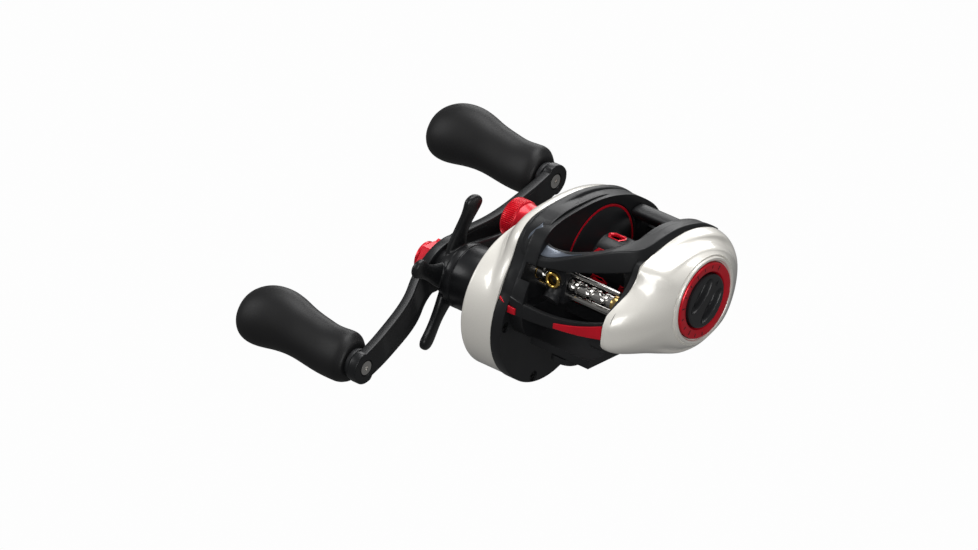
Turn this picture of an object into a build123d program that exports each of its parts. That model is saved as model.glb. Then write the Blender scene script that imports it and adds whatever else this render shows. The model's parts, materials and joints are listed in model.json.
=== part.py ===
from build123d import *
import os
from math import atan2, cos, degrees, hypot, pi, radians, sin, sqrt

# Low-profile baitcasting reel, millimetres.
# Origin: centre of the reel foot's underside.  +X runs along the spool shaft to the palm side,
# -Y is the front (line guide), +Z is up, away from the rod.

# ---------------------------------------------------------------- driving dimensions
SPOOL_Z = 21.5              # spool shaft above the foot's underside
GEAR_MODULE = 0.6
PINION_TEETH = 10
MAIN_TEETH = 64
HANDLE_Y = -16.0            # crank shaft in front of the spool shaft
WORM_Y, WORM_Z = -24.0, 22.8
WIND_MODULE = 0.5           # level-wind gears

GEAR_CENTRES = GEAR_MODULE * (PINION_TEETH + MAIN_TEETH) / 2
HANDLE_Z = SPOOL_Z - sqrt(GEAR_CENTRES ** 2 - HANDLE_Y ** 2)
WIND_CENTRES = hypot(WORM_Y - HANDLE_Y, WORM_Z - HANDLE_Z)
WORM_TEETH = 22
WIND_TEETH = round(2 * WIND_CENTRES / WIND_MODULE) - WORM_TEETH
WIND_ACTUAL_MODULE = 2 * WIND_CENTRES / (WIND_TEETH + WORM_TEETH)

CLEAR = 0.3                 # between pieces that move past each other
RUNNING = 0.05              # radial clearance of a running fit
FIT = 0.02                  # radial clearance of pieces seated in each other

# stations along the spool shaft
COVER_OUT = -31.0           # outer face of the gear-side cover
COVER_IN = -19.4            # where the cover meets the gear housing
HOUSING_IN = -15.5          # inner face of the gear housing
PLATE_IN = 10.8             # inner faces of the frame's side plates at the spool
PLATE_OUT = 15.4            # outer faces of the side plates
BAY_LEFT, BAY_RIGHT = -14.2, 13.5   # inner faces of the side plates at the line guide
PALM_FACE = 28.3            # outer rim of the palm cover
DIAL_FACE = 29.0

DRUM_R = 22.0               # gear case round the crank shaft
CASE_WALL = 1.4
DRUM_EDGE = 1.4             # bevel round the drum's outer face
SPOOL_R = 15.8              # over the spool's rims
SPOOL_BORE_R = SPOOL_R + CLEAR
ARBOR_R = 8.0
SHAFT_R = 1.5               # spool shaft
DRIVE_R = 3.0               # crank shaft

BOSS_R = 10.25              # tube round the crank shaft outside the cover
BOSS_OUT = -47.8
STAR_OUT, STAR_IN = -52.4, -48.6
STAR_TIP_R = 24.0
STAR_PHASE = 88.0           # first star arm, degrees from +Y towards +Z
STAR_ARMS = 5

HANDLE_SPAN = 90.0          # knob axis to knob axis
HANDLE_ANGLE = 23.0         # rear knob above +Y
ARM_LEVEL = 55.4            # arm's inner face at the hub, out along -X
ARM_END_LEVEL = 48.5        # arm's inner face at the knobs
ARM_THICK = 3.4
KNOB_IN = 53.6
KNOB_LENGTH = 40.8
KNOB_ANGLE = 58.0           # wide direction of the knobs, from +Y towards +Z
KNOB_SHAFT_R = 2.2

TENSION_OUT = -44.4
TENSION_R = 6.4
DIAL_R = 8.3
RING_R = 11.8
RING_SEAT_R = 12.0

GUIDE_X = -5.8              # line guide at rest
GUIDE_Z = 24.4
GUIDE_HALF = 3.5
ROD_Y = -24.0
UPPER_ROD_Z, UPPER_ROD_R = 26.3, 0.7
LOWER_ROD_Z, LOWER_ROD_R = 19.2, 1.0
WORM_R = 1.9
PAWL_TILT = 45.0            # pawl axis below the forward direction
BUSH_R = 2.4

# side profiles as (y, z) points, closed smooth outlines
LEFT_PROFILE = [
    (-35.0, 12.6), (-34.6, 19.2), (-31.2, 27.0), (-28.8, 33.4), (-25.8, 36.9), (-21.9, 38.6), (-14.6, 39.8),
    (-7.3, 40.3), (1, 40), (7.8, 38.7), (14.7, 36.4), (20.9, 33), (25.5, 29.5), (29, 24.5), (30, 18),
    (28, 10.5), (22, 4.2), (12, 2.0), (0, 1.8), (-14, 1.9), (-25, 2.6), (-32.4, 6.2)]
PALM_PROFILE = [
    (-30.9, 11.7), (-30.6, 15.6), (-28.1, 18.1), (-22.6, 21.2), (-18.3, 25), (-17.0, 28.6), (-17.8, 32.4),
    (-17.1, 35.2), (-15, 36.9), (-10.2, 38.6), (-2.1, 39.9), (7.3, 38.9), (12.1, 37.7), (18, 35.1),
    (23, 31), (26.6, 26), (27.8, 20), (26.6, 11.5), (22.5, 4.4), (13.8, 2.0), (4.5, 1.7), (-5, 2.0),
    (-12.3, 3.6), (-21.9, 6.4), (-28.3, 8.8)]


# ---------------------------------------------------------------- helpers
def across(x):
    """Plane across the shafts at x, with local axes Y and Z."""
    return Plane(origin=(x, 0, 0), x_dir=(0, 1, 0), z_dir=(1, 0, 0))


def tube(x0, x1, r_out, r_in=0.0, y=0.0, z=0.0):
    """Cylinder or tube along X between two stations."""
    face = Circle(r_out) - Circle(r_in) if r_in else Circle(r_out)
    return extrude(across(x0) * Pos(y, z) * face, amount=x1 - x0)


def spool_tube(x0, x1, r_out, r_in=0.0):
    """Tube round the spool shaft."""
    return tube(x0, x1, r_out, r_in, 0, SPOOL_Z)


def crank_tube(x0, x1, r_out, r_in=0.0):
    """Tube round the crank shaft."""
    return tube(x0, x1, r_out, r_in, HANDLE_Y, HANDLE_Z)


def turned(points, y, z):
    """Solid of revolution about the line along X through (y, z); points are (x, radius)."""
    face = make_face(Polyline(*points, close=True))
    return Pos(0, y, z) * revolve(face, Axis.X)


def block(x0, x1, y0, y1, z0, z1):
    """Box between two corners."""
    return Pos((x0 + x1) / 2, (y0 + y1) / 2, (z0 + z1) / 2) * Box(x1 - x0, y1 - y0, z1 - z0)


def smooth_face(points, x):
    """Face across the shafts inside a smooth closed outline."""
    return make_face(Spline(*[(x, y, z) for y, z in points], periodic=True))


def prism(points, x0, x1):
    """Smooth outline extruded along X."""
    return extrude(smooth_face(points, x0), amount=x1 - x0, dir=(1, 0, 0))


def blended(points, centre, radius, share):
    """Outline between a circle about centre (share 0) and the given points (share 1)."""
    result = []
    for y, z in points:
        dy, dz = y - centre[0], z - centre[1]
        reach = hypot(dy, dz)
        scale = (radius + (reach - radius) * share) / reach
        result.append((centre[0] + dy * scale, centre[1] + dz * scale))
    return result


def shrunk(points, centre, wall):
    """Outline moved towards a centre by a wall thickness."""
    return [(y - (y - centre[0]) * wall / hypot(y - centre[0], z - centre[1]),
             z - (z - centre[1]) * wall / hypot(y - centre[0], z - centre[1])) for y, z in points]


def skin(sections):
    """Smooth loft through (x, outline) sections."""
    return loft([smooth_face(points, x) for x, points in sections])


def gear(teeth, module, x0, x1, y, z, tooth_at):
    """Spur gear along X with slim straight-flanked teeth, one of them centred on an angle."""
    pitch_r = teeth * module / 2
    tip_r = pitch_r + 0.85 * module
    root_r = pitch_r - 1.1 * module
    step = 2 * pi / teeth
    points = []
    for index in range(teeth):
        middle = tooth_at + index * step
        for radius, half in ((root_r, 0.30), (tip_r, 0.12)):
            points.append((radius, middle - half * step))
        for radius, half in ((tip_r, 0.12), (root_r, 0.30)):
            points.append((radius, middle + half * step))
    corners = [(y + r * cos(a), z + r * sin(a)) for r, a in points]
    return extrude(across(x0) * make_face(Polyline(*corners, close=True)), amount=x1 - x0)


def socket_screw(x_head, direction, y, z, head_r=1.5, shank_r=0.9, length=5.0):
    """Cross-recessed screw along X; direction +1 has its head facing +X."""
    head = tube(min(x_head, x_head - direction * 1.2), max(x_head, x_head - direction * 1.2), head_r, 0, y, z)
    far = x_head - direction * (1.2 + length)
    near = x_head - direction * 1.2
    shank = tube(min(far, near), max(far, near), shank_r, 0, y, z)
    recess = Pos(x_head, y, z) * (Box(1.2, 0.4, 1.8) + Box(1.2, 1.8, 0.4))
    return head + shank - recess


def save(node, shape):
    """Write one sub-part."""
    export_step(shape, f"parts/{node}.step")


# ---------------------------------------------------------------- frame and foot
SPOOL_AXIS = (0.0, SPOOL_Z)
BAR_SECTIONS = ((-PLATE_OUT, -35.6, 12.3, 17.6), (0, -33.8, 12.4, 15.9), (PLATE_OUT, -31.2, 13.9, 19.3))
STRIP_SECTIONS = ((-PLATE_OUT, -35.6, 12.6, 14.9), (0, -33.8, 12.7, 14.4), (PLATE_OUT, -31.2, 14.2, 18.3))
BAR_DEPTH = 1.8
STRIP_PROUD, STRIP_DEPTH = 0.2, 0.5
RECESS_Y, RECESS_Z = (-33.0, -16.4), (14.5, 27.8)   # pockets for the line guide in the side plates
LEFT_STRIP = (-PLATE_OUT, -13.0)
RIGHT_STRIP = (0.0, PLATE_OUT)
FOOT_SCREWS_Y = (-13.0, -5.5, 5.5, 13.0)
THUMB_Y, THUMB_Z = 16.6, 30.6
THUMB_LEAN = 30.0           # the bar slides down and back at this angle
THUMB_TRAVEL = 4.0
CAM_REACH = 12.6            # tip of the clutch cam's lever behind the spool shaft


def bar_band(sections, front, back):
    """Band along the front bar between two depths behind its front face."""
    faces = []
    for x, y, z0, z1 in sections:
        corners = [(y + front, z0), (y + back, z0), (y + back, z1), (y + front, z1)]
        faces.append(across(x) * make_face(Polyline(*corners, close=True)))
    return loft(faces)


def accent_strips():
    """Two coloured inlays let into the face of the front bar."""
    band = bar_band(STRIP_SECTIONS, -STRIP_PROUD, STRIP_DEPTH)
    left = band & block(*LEFT_STRIP, -40, -25, 0, 25)
    right = band & block(*RIGHT_STRIP, -40, -25, 0, 25)
    return left, right


def side_plate(profile, x0, x1, bay):
    """Frame side plate with the spool bore and a recess beside the line guide."""
    plate = prism(profile, x0, x1)
    plate -= spool_tube(x0 - 1, x1 + 1, SPOOL_BORE_R)
    inner, outer = bay
    return plate - block(inner, outer, *RECESS_Y, *RECESS_Z)


def frame_body():
    """One-piece frame: side plates, spool cradle, front deck, front bar and rear brace."""
    left = side_plate(LEFT_PROFILE, -PLATE_OUT, -PLATE_IN, (BAY_LEFT, 0))
    right = side_plate(PALM_PROFILE, PLATE_IN, PLATE_OUT, (0, BAY_RIGHT))
    cradle = spool_tube(-PLATE_IN, PLATE_IN, 19.6, 17.2) & block(-20, 20, -14, 17, 1.8, 12)
    deck = block(-PLATE_IN, PLATE_IN, -29.6, -9, 2.2, 4.6)
    brace = spool_tube(-PLATE_IN, PLATE_IN, 25.0, 22.4) & block(-20, 20, 15, 30, 10, 24)
    heel = block(-PLATE_IN, PLATE_IN, 9, 24, 3.2, 6.0) - spool_tube(-20, 20, 18)
    body = left + right + cradle + deck + brace + heel + bar_band(BAR_SECTIONS, 0, BAR_DEPTH)
    pad = block(-6.2, 6.2, -15.5, 15.5, 1.9, 3.4)
    body = body + pad - block(-20, 20, -40, 40, -1, 1.9)
    for strip in accent_strips():
        body -= strip
    for radius, z, half in ((UPPER_ROD_R, UPPER_ROD_Z, PLATE_OUT), (LOWER_ROD_R, LOWER_ROD_Z, PLATE_OUT)):
        body -= tube(-half, half, radius + FIT, 0, ROD_Y, z)
    body -= tube(-PLATE_OUT, PLATE_OUT, BUSH_R + FIT, 0, WORM_Y, WORM_Z)
    for y in FOOT_SCREWS_Y:
        body -= Pos(0, y, 3.0) * Cylinder(1.0 + FIT, 3.0)
    return body - thumb_slot(-PLATE_OUT - 1, -PLATE_IN + 1) - thumb_slot(PLATE_IN - 1, PLATE_OUT + 1)


def thumb_frame():
    """Location of the thumb bar's ends, leaning back along the bar's travel."""
    return Pos(0, THUMB_Y, THUMB_Z) * Rot(THUMB_LEAN, 0, 0)


def thumb_slot(x0, x1):
    """Clearance in a plate for the end of the thumb bar over its travel."""
    return thumb_frame() * block(x0, x1, -2.0 - CLEAR, 2.0 + CLEAR, -0.9 - THUMB_TRAVEL - CLEAR, 1.4 + CLEAR)


def reel_foot():
    """Foot plate that sits in the rod's reel seat, tapered towards both ends."""
    plan = make_face(Spline((0, 30), (3.6, 28.5), (4.7, 24), (6.0, 12), (6.5, 0), (6.0, -12), (4.7, -24),
                            (3.6, -28.5), (0, -30), (-3.6, -28.5), (-4.7, -24), (-6.0, -12), (-6.5, 0),
                            (-6.0, 12), (-4.7, 24), (-3.6, 28.5), periodic=True))
    plate = extrude(plan, amount=1.9)
    for end in (-1, 1):
        plate -= Pos(0, end * 30, 3.1) * Rot(end * 7, 0, 0) * Box(20, 26, 2.4)
    for y in FOOT_SCREWS_Y:
        plate -= Pos(0, y, 0.95) * Cylinder(1.0 + FIT, 1.9)
        plate -= Pos(0, y, 0.5) * Cylinder(2.0 + FIT, 1.0)
    return plate


def foot_screws():
    """Screws that hold the foot to the frame."""
    screws = []
    for y in FOOT_SCREWS_Y:
        head = Pos(0, y, 0.6) * Cylinder(2.0, 0.8)
        shank = Pos(0, y, 2.4) * Cylinder(1.0, 2.8)
        recess = Pos(0, y, 0.2) * (Box(0.5, 2.2, 0.8) + Box(2.2, 0.5, 0.8))
        screws.append(head + shank - recess)
    return screws


# ---------------------------------------------------------------- hood over the line guide
HOOD_STATIONS = (           # x, lower front, upper front, upper back, lower back as (y, z)
    (-PLATE_OUT, (-29.8, 27.6), (-28.9, 33.4), (-24.6, 35.4), (-24.6, 28.2)),
    (-10, (-30.3, 27.7), (-29.6, 30.0), (-24.6, 33.0), (-24.6, 28.6)),
    (-2, (-28.6, 28.4), (-27.9, 32.6), (-23.2, 33.6), (-22.6, 29.2)),
    (6, (-25.0, 29.7), (-24.3, 36.0), (-19.6, 36.3), (-20.2, 30.6)),
    (PLATE_OUT, (-17.9, 32.4), (-17.3, 36.2), (-13.6, 38.0), (-14.8, 33.0)))


def hood_body():
    """Bridge over the line guide between the side plates."""
    faces = [across(x) * make_face(Polyline(*corners, close=True)) for x, *corners in HOOD_STATIONS]
    bridge = loft(faces, ruled=True)
    clear = spool_tube(-20, 20, SPOOL_R + 1.0)
    bay = block(BAY_LEFT, BAY_RIGHT, -40, 0, 0, 28.0)
    return bridge - clear - bay


def hood_insert(hood):
    """Grey inlay in the top of the hood near the gear side."""
    top = [(-13.2, -28.6), (-8.0, -29.0), (0.5, -26.6), (3.0, -24.2), (-2.0, -24.3), (-9.0, -25.6),
           (-13.2, -25.4)]
    column = extrude(Pos(0, 0, 20) * make_face(Polyline(*top, close=True)), amount=20)
    lowered = Pos(0, 0, -0.6) * hood
    return (hood & column) - lowered


# ---------------------------------------------------------------- gear side
PINION_BOSS_R = 5.3
POST_REACH = 7.8
POST_R = 1.0
POST_TURN = atan2(HANDLE_Z - SPOOL_Z, HANDLE_Y) + pi / 2
POSTS = [(side * POST_REACH * cos(POST_TURN), SPOOL_Z + side * POST_REACH * sin(POST_TURN)) for side in (-1, 1)]
HOUSING_SCREWS = ((-35.9, 7.6), (-20.2, -13.6), (9.0, 34.2), (22.5, 11.0))
COVER_BLOB = [
    (-24, 20), (-21, 25.5), (-15, 28.2), (-9.5, 29.6), (-5.4, 31.0), (0, 32.4), (5, 32.6), (9.5, 30.8),
    (12.6, 26.5), (13.2, 21), (11, 14), (6, 7), (0, 1), (-8, -3), (-16, -4), (-22, 0), (-25, 7), (-25, 14)]
COVER_BASE = [
    (-30.9, 20), (-30.2, 28.3), (-27.6, 35.6), (-21.9, 38.6), (-14.6, 39.8), (-7.3, 40.3), (1, 40), (7.8, 38.7),
    (14.7, 36.4), (22.2, 32.2), (28.6, 25), (29.6, 16), (25, 6), (14, 1.4), (0, 0), (-12, -2), (-24, 1), (-31, 10)]
COVER_CENTRE = (-3.0, 18.0)
COVER_STEPS = ((COVER_IN, 1.0), (-22.4, 0.86), (-26.6, 0.45), (COVER_OUT, 0.0))


def mixed(first, second, share):
    """Outline part way from the first outline to the second."""
    return [(a[0] + (b[0] - a[0]) * share, a[1] + (b[1] - a[1]) * share) for a, b in zip(first, second)]


def cover_skin(wall, x_shift):
    """Solid shape of the gear-side cover, pulled in by a wall thickness."""
    sections = []
    for x, share in COVER_STEPS:
        points = shrunk(mixed(COVER_BLOB, COVER_BASE, share), COVER_CENTRE, wall)
        sections.append((x if x == COVER_IN else x + x_shift, points))
    face, radius = COVER_OUT + x_shift, DRUM_R - wall
    drum = turned([(face, 0), (face, radius - DRUM_EDGE), (face + DRUM_EDGE, radius), (COVER_IN, radius),
                   (COVER_IN, 0)], HANDLE_Y, HANDLE_Z)
    return skin(sections) + drum


def gear_cover():
    """Outer shell over the gears, with the threaded neck for the tension knob."""
    outer = cover_skin(0, 0)
    shell = outer - cover_skin(CASE_WALL, CASE_WALL)
    neck = spool_tube(-38.2, COVER_OUT + 1.0, 4.6)
    bearing_seat = spool_tube(COVER_OUT + 0.4, -28.0, 5.4)
    posts = [tube(COVER_OUT + 0.4, -29.4, 2.0, 0, y, z) for y, z in POSTS]
    shell = shell + neck + bearing_seat + posts[0] + posts[1]
    shell -= spool_tube(-38.4, -35.0, 4.0 + FIT)
    shell -= spool_tube(-35.2, -29.2, 2.6)
    shell -= spool_tube(-29.6, -27.4, 4.2 + FIT)
    shell -= crank_tube(COVER_OUT - 1, COVER_IN, 7.4)
    for y, z in POSTS:
        shell -= tube(-30.2, -29, POST_R + FIT, 0, y, z)
    bosses = [tube(-26, COVER_IN, 2.2, 0, y, z) & cover_skin(0.2, 0.2) for y, z in HOUSING_SCREWS[2:]]
    for boss in bosses:
        shell += boss
    for y, z in HOUSING_SCREWS[2:]:
        shell -= tube(-25, COVER_IN, 0.9 + FIT, 0, y, z)
    return shell


def housing_outline(x0, x1, wall=0.0):
    """Outline of the gear housing: gear drum and side profile together."""
    return crank_tube(x0, x1, DRUM_R - wall) + prism(shrunk(LEFT_PROFILE, SPOOL_AXIS, wall + 0.2), x0, x1)


def gear_housing():
    """Plate between the frame and the gears, with the bearing seats and level-wind gear recess."""
    body = housing_outline(COVER_IN, HOUSING_IN)
    recess = crank_tube(COVER_IN - 1, -17.4, DRUM_R - 1.6)
    recess += tube(COVER_IN - 1, -17.4, 7.2, 0, WORM_Y, WORM_Z)
    recess += spool_tube(COVER_IN - 1, -18.0, 14.6)
    recess += thumb_frame() * block(COVER_IN - 1, -18.0, -7.0, 2.3, -7.0, 1.7)
    body = body - recess - thumb_slot(-19, HOUSING_IN + 1)
    body += spool_tube(-18.8, HOUSING_IN, PINION_BOSS_R)
    body += tube(COVER_IN, HOUSING_IN, 2.2, 0, *HOUSING_SCREWS[0]) & housing_outline(COVER_IN, HOUSING_IN)
    body += tube(COVER_IN, HOUSING_IN, 2.2, 0, *HOUSING_SCREWS[1]) & housing_outline(COVER_IN, HOUSING_IN)
    for y, z in POSTS:
        body += tube(-18.4, HOUSING_IN, 1.9, 0, y, z)
        body -= tube(-18.6, -16.4, POST_R + FIT, 0, y, z)
    body -= spool_tube(-19, -15.9, 4.5 + FIT)
    body -= spool_tube(-19, -15, 2.9)
    body -= crank_tube(-19, -15.7, 4.0 + FIT)
    body -= tube(COVER_IN - 1, HOUSING_IN + 1, BUSH_R + FIT, 0, WORM_Y, WORM_Z)
    for y, z in HOUSING_SCREWS[:2]:
        body -= tube(-17.2, HOUSING_IN + 1, 1.7, 0, y, z)
        body -= tube(-23, HOUSING_IN, 0.9 + FIT, 0, y, z)
    for y, z in HOUSING_SCREWS[2:]:
        body -= tube(-20, HOUSING_IN + 1, 0.9 + FIT, 0, y, z)
    return body


def housing_screws():
    """Screws that clamp the gear housing and cover together."""
    front = [socket_screw(-16.0, 1, y, z, length=1.8) for y, z in HOUSING_SCREWS[:2]]
    rear = [tube(-24.4, -15.6, 0.9, 0, y, z) for y, z in HOUSING_SCREWS[2:]]
    return front + rear


def drag_boss():
    """Tube round the crank shaft that holds the one-way bearing."""
    body = crank_tube(BOSS_OUT, COVER_OUT, BOSS_R, 7.0 + FIT) + crank_tube(COVER_OUT, -29.0, 7.38, 5.4)
    inner_lip = crank_tube(-32.0, COVER_OUT, 8.0, 5.4)
    grooves = [crank_tube(x, x + 0.5, BOSS_R + 1, BOSS_R - 0.3) for x in (-45.6, -34.4)]
    return body + inner_lip - grooves[0] - grooves[1]


def yoke_posts():
    """Two posts that guide the clutch yoke."""
    return [tube(-30.1, -16.5, POST_R, 0, y, z) for y, z in POSTS]


def coil(x0, x1, radius, wire_r, turns, y, z):
    """Helical compression spring along X."""
    pitch = (x1 - x0) / turns
    path = Helix(pitch=pitch, height=x1 - x0, radius=radius)
    profile = Plane(origin=path @ 0, z_dir=path % 0) * Circle(wire_r)
    spring = sweep(profile, path=path, is_frenet=True)
    return Pos(x0, y, z) * Rot(0, 90, 0) * spring


def yoke_springs():
    """Return springs that push the yoke home."""
    return [coil(-29.0, -26.7, 1.55, 0.25, 3, y, z) for y, z in POSTS]


def clutch_yoke():
    """Fork that slides the pinion along the spool shaft."""
    body = Pos(0, 0, SPOOL_Z) * Rot(degrees(POST_TURN), 0, 0) * block(-26.1, -24.9, -10.0, 10.0, -3.4, 3.0)
    body -= spool_tube(-27, -24, 2.2 + RUNNING + 0.05)
    slot = Pos(0, 0, SPOOL_Z) * Rot(degrees(POST_TURN), 0, 0) * block(-27, -24, -2.3, 2.3, 0, 8)
    body -= slot
    for y, z in POSTS:
        body -= tube(-27, -24, POST_R + RUNNING, 0, y, z)
    return body


def pinion():
    """Pinion with yoke groove, bearing journals and a slot that takes the spool's drive pin."""
    body = spool_tube(-26.7, -16.0, 2.2) + spool_tube(-29.8, -26.7, 2.0)
    towards_main = atan2(HANDLE_Z - SPOOL_Z, HANDLE_Y)
    body += gear(PINION_TEETH, GEAR_MODULE, -24.6, -19.4, 0, SPOOL_Z, towards_main)
    body += spool_tube(-26.7, -26.2, 3.2)
    body -= spool_tube(-31, -15, SHAFT_R + RUNNING)
    return body - Pos(-16.4, 0, SPOOL_Z) * Box(1.6, 6, 1.5)


def clutch_cam():
    """Ring with a lever, turned by the thumb bar to lift the yoke."""
    ring = spool_tube(-19.3, -18.9, 6.6, PINION_BOSS_R + CLEAR)
    lever = block(-19.3, -18.9, 5.8, CAM_REACH, SPOOL_Z + 0.6, SPOOL_Z + 3.4)
    ramps = [Pos(0, 0, SPOOL_Z) * Rot(turn, 0, 0) * block(-19.6, -19.3, 5.7, 6.4, -0.9, 0.9)
             for turn in (30, 210)]
    return ring + lever + ramps[0] + ramps[1]


# ---------------------------------------------------------------- crank shaft group
def drive_shaft():
    """Stepped crank shaft."""
    body = crank_tube(-62.2, -19.2, DRIVE_R) + crank_tube(-19.2, -15.9, 2.0 - FIT)
    body += crank_tube(-20.2, -19.5, 4.6)
    flats = [Pos(-59, HANDLE_Y, HANDLE_Z) * Rot(HANDLE_ANGLE, 0, 0) * Pos(0, 0, side * 3.0) * Box(7, 8, 0.9)
             for side in (-1, 1)]
    return body - flats[0] - flats[1]


def main_gear():
    """Drive gear with a recess for the drag stack."""
    towards_pinion = atan2(SPOOL_Z - HANDLE_Z, -HANDLE_Y)
    half_step = pi / MAIN_TEETH
    body = gear(MAIN_TEETH, GEAR_MODULE, -23.6, -20.3, HANDLE_Y, HANDLE_Z, towards_pinion + half_step)
    body -= crank_tube(-24, -21.4, 14.2)
    for index in range(6):
        angle = radians(60 * index)
        body -= tube(-22, -20, 1.8, 0, HANDLE_Y + 9.5 * cos(angle), HANDLE_Z + 9.5 * sin(angle))
    return body - crank_tube(-25, -20, DRIVE_R + RUNNING)


def drag_stack():
    """Carbon washers, pressure plate and belleville springs of the star drag."""
    washers = [crank_tube(-22.0, -21.45, 13.8, 4.2), crank_tube(-24.05, -23.65, 13.0, 4.2)]
    plate = crank_tube(-23.6, -22.05, 13.6, DRIVE_R + FIT) + crank_tube(-25.2, -24.1, 13.0, DRIVE_R + FIT)
    plate += crank_tube(-24.1, -23.6, 4.1, DRIVE_R + FIT)
    cones = []
    for x, lean in ((-43.4, 1), (-42.4, -1)):
        inner, outer = (x, x + 0.5) if lean > 0 else (x + 0.5, x)
        profile = [(inner, 3.2), (inner + 0.4, 3.2), (outer + 0.4, 6.4), (outer, 6.4)]
        cones.append(turned(profile, HANDLE_Y, HANDLE_Z))
    return washers, plate, cones


def wind_gear():
    """Gear on the crank shaft that drives the level wind."""
    towards_worm = atan2(WORM_Z - HANDLE_Z, WORM_Y - HANDLE_Y)
    half_step = pi / WIND_TEETH
    body = gear(WIND_TEETH, WIND_ACTUAL_MODULE, -19.0, -17.7, HANDLE_Y, HANDLE_Z, towards_worm + half_step)
    for index in range(5):
        angle = radians(72 * index)
        body -= tube(-20, -17, 2.4, 0, HANDLE_Y + 8.2 * cos(angle), HANDLE_Z + 8.2 * sin(angle))
    return body - crank_tube(-20, -17, 2.0)


def worm_gear():
    """Small gear on the end of the worm shaft."""
    towards_crank = atan2(HANDLE_Z - WORM_Z, HANDLE_Y - WORM_Y)
    body = gear(WORM_TEETH, WIND_ACTUAL_MODULE, -19.0, -17.7, WORM_Y, WORM_Z, towards_crank)
    return body - tube(-20, -17, 1.2 + FIT, 0, WORM_Y, WORM_Z)


# ---------------------------------------------------------------- handle
HANDLE_PLANE = Plane(origin=(0, HANDLE_Y, HANDLE_Z), z_dir=(-1, 0, 0),
                     x_dir=(0, cos(radians(HANDLE_ANGLE)), sin(radians(HANDLE_ANGLE))))
ARM_REACH = HANDLE_SPAN / 2
BEND_START, BEND_END = 25.0, 40.0
END_R = 5.2
HUB_HALF = 7.0
RETAINER_U = 11.0           # retaining screw from the crank axis
SHAFT_DISH_R, SHAFT_DISH = 2.8, 0.5     # dish in the arm round the riveted end of a knob shaft


def arm_side_view():
    """Side view of the bent arm, u along the arm and h out from the reel."""
    far = ARM_REACH + END_R + 1
    low = Spline((BEND_START, ARM_LEVEL), ((BEND_START + BEND_END) / 2, (ARM_LEVEL + ARM_END_LEVEL) / 2),
                 (BEND_END, ARM_END_LEVEL), tangents=((1, 0), (1, 0)))
    inner = [Line((0, ARM_LEVEL), (BEND_START, ARM_LEVEL)), low, Line((BEND_END, ARM_END_LEVEL),
                                                                   (far, ARM_END_LEVEL))]
    outer = [Pos(0, ARM_THICK) * edge for edge in inner]
    caps = [Line((far, ARM_END_LEVEL), (far, ARM_END_LEVEL + ARM_THICK)),
            Line((0, ARM_LEVEL), (0, ARM_LEVEL + ARM_THICK))]
    half = make_face(Curve() + inner + outer + caps)
    return half


def handle_arm():
    """Double-ended crank arm, bent towards the reel at both ends."""
    half = extrude(Plane.XZ * arm_side_view(), amount=12, both=True)
    both = half + mirror(half, Plane.YZ)
    plan = Circle(HUB_HALF)
    for side in (-1, 1):
        corners = [(0, -5.4), (side * ARM_REACH, -4.3), (side * ARM_REACH, 4.3), (0, 5.4)]
        plan += make_face(Polyline(*corners, close=True))
        plan += Pos(side * ARM_REACH, 0) * Circle(END_R)
    body = both & extrude(Pos(0, 0, 40) * plan, amount=30)
    body -= Pos(0, 0, 57) * Cylinder(DRIVE_R + FIT, 12)
    body -= Pos(RETAINER_U, 0, ARM_LEVEL + ARM_THICK - 0.5) * Cylinder(1.0 + FIT, 2.0)
    for side in (-1, 1):
        body -= Pos(side * ARM_REACH, 0, ARM_END_LEVEL + 1) * Cylinder(KNOB_SHAFT_R + FIT, 12)
        body -= Pos(side * ARM_REACH, 0, ARM_END_LEVEL) * Cylinder(SHAFT_DISH_R, 2 * SHAFT_DISH)
    return HANDLE_PLANE * body


def knob_centre(side):
    """Position (y, z) of a knob axis; side +1 is the rear knob."""
    angle = radians(HANDLE_ANGLE)
    return HANDLE_Y + side * ARM_REACH * cos(angle), HANDLE_Z + side * ARM_REACH * sin(angle)


KNOB_SECTIONS = ((0, 6.6, 5.6), (4, 6.5, 5.4), (11, 7.3, 5.8), (20, 8.7, 6.6), (29, 9.8, 7.3), (35.5, 9.6, 7.2),
                 (39.2, 7.6, 5.7), (KNOB_LENGTH, 4.2, 3.2))


def knob(side):
    """Soft paddle grip; sections are (distance out, half width, half thickness)."""
    y, z = knob_centre(side)
    faces = [Pos(0, 0, KNOB_IN + out) * Ellipse(wide, thick) for out, wide, thick in KNOB_SECTIONS]
    body = loft(faces)
    body -= Pos(0, 0, KNOB_IN + 16) * Cylinder(3.9 + FIT, 32.2)
    angle = radians(KNOB_ANGLE)
    plane = Plane(origin=(0, y, z), z_dir=(-1, 0, 0), x_dir=(0, cos(angle), sin(angle)))
    return plane * body


def knob_bearings(side):
    """Inner and outer bearing of one knob."""
    y, z = knob_centre(side)
    inner = tube(-KNOB_IN - 3.0, -KNOB_IN, 3.9, KNOB_SHAFT_R + RUNNING, y, z)
    outer = tube(-KNOB_IN - 32.0, -KNOB_IN - 29.0, 3.9, KNOB_SHAFT_R + RUNNING, y, z)
    return inner, outer


def knob_shafts():
    """Shafts riveted through the ends of the arm."""
    shafts = []
    for side in (-1, 1):
        y, z = knob_centre(side)
        inner = -ARM_END_LEVEL - 0.1
        body = tube(-KNOB_IN - 31.6, inner, KNOB_SHAFT_R, 0, y, z)
        shafts.append(body - tube(inner - 0.3, inner + 1, 0.7, 0, y, z))
    return shafts


def knob_washers():
    """Thrust washers between the arm and the knobs."""
    inner = -ARM_END_LEVEL - ARM_THICK
    return [tube(-KNOB_IN + CLEAR, inner, 4.6, KNOB_SHAFT_R + FIT, *knob_centre(side)) for side in (-1, 1)]


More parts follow.
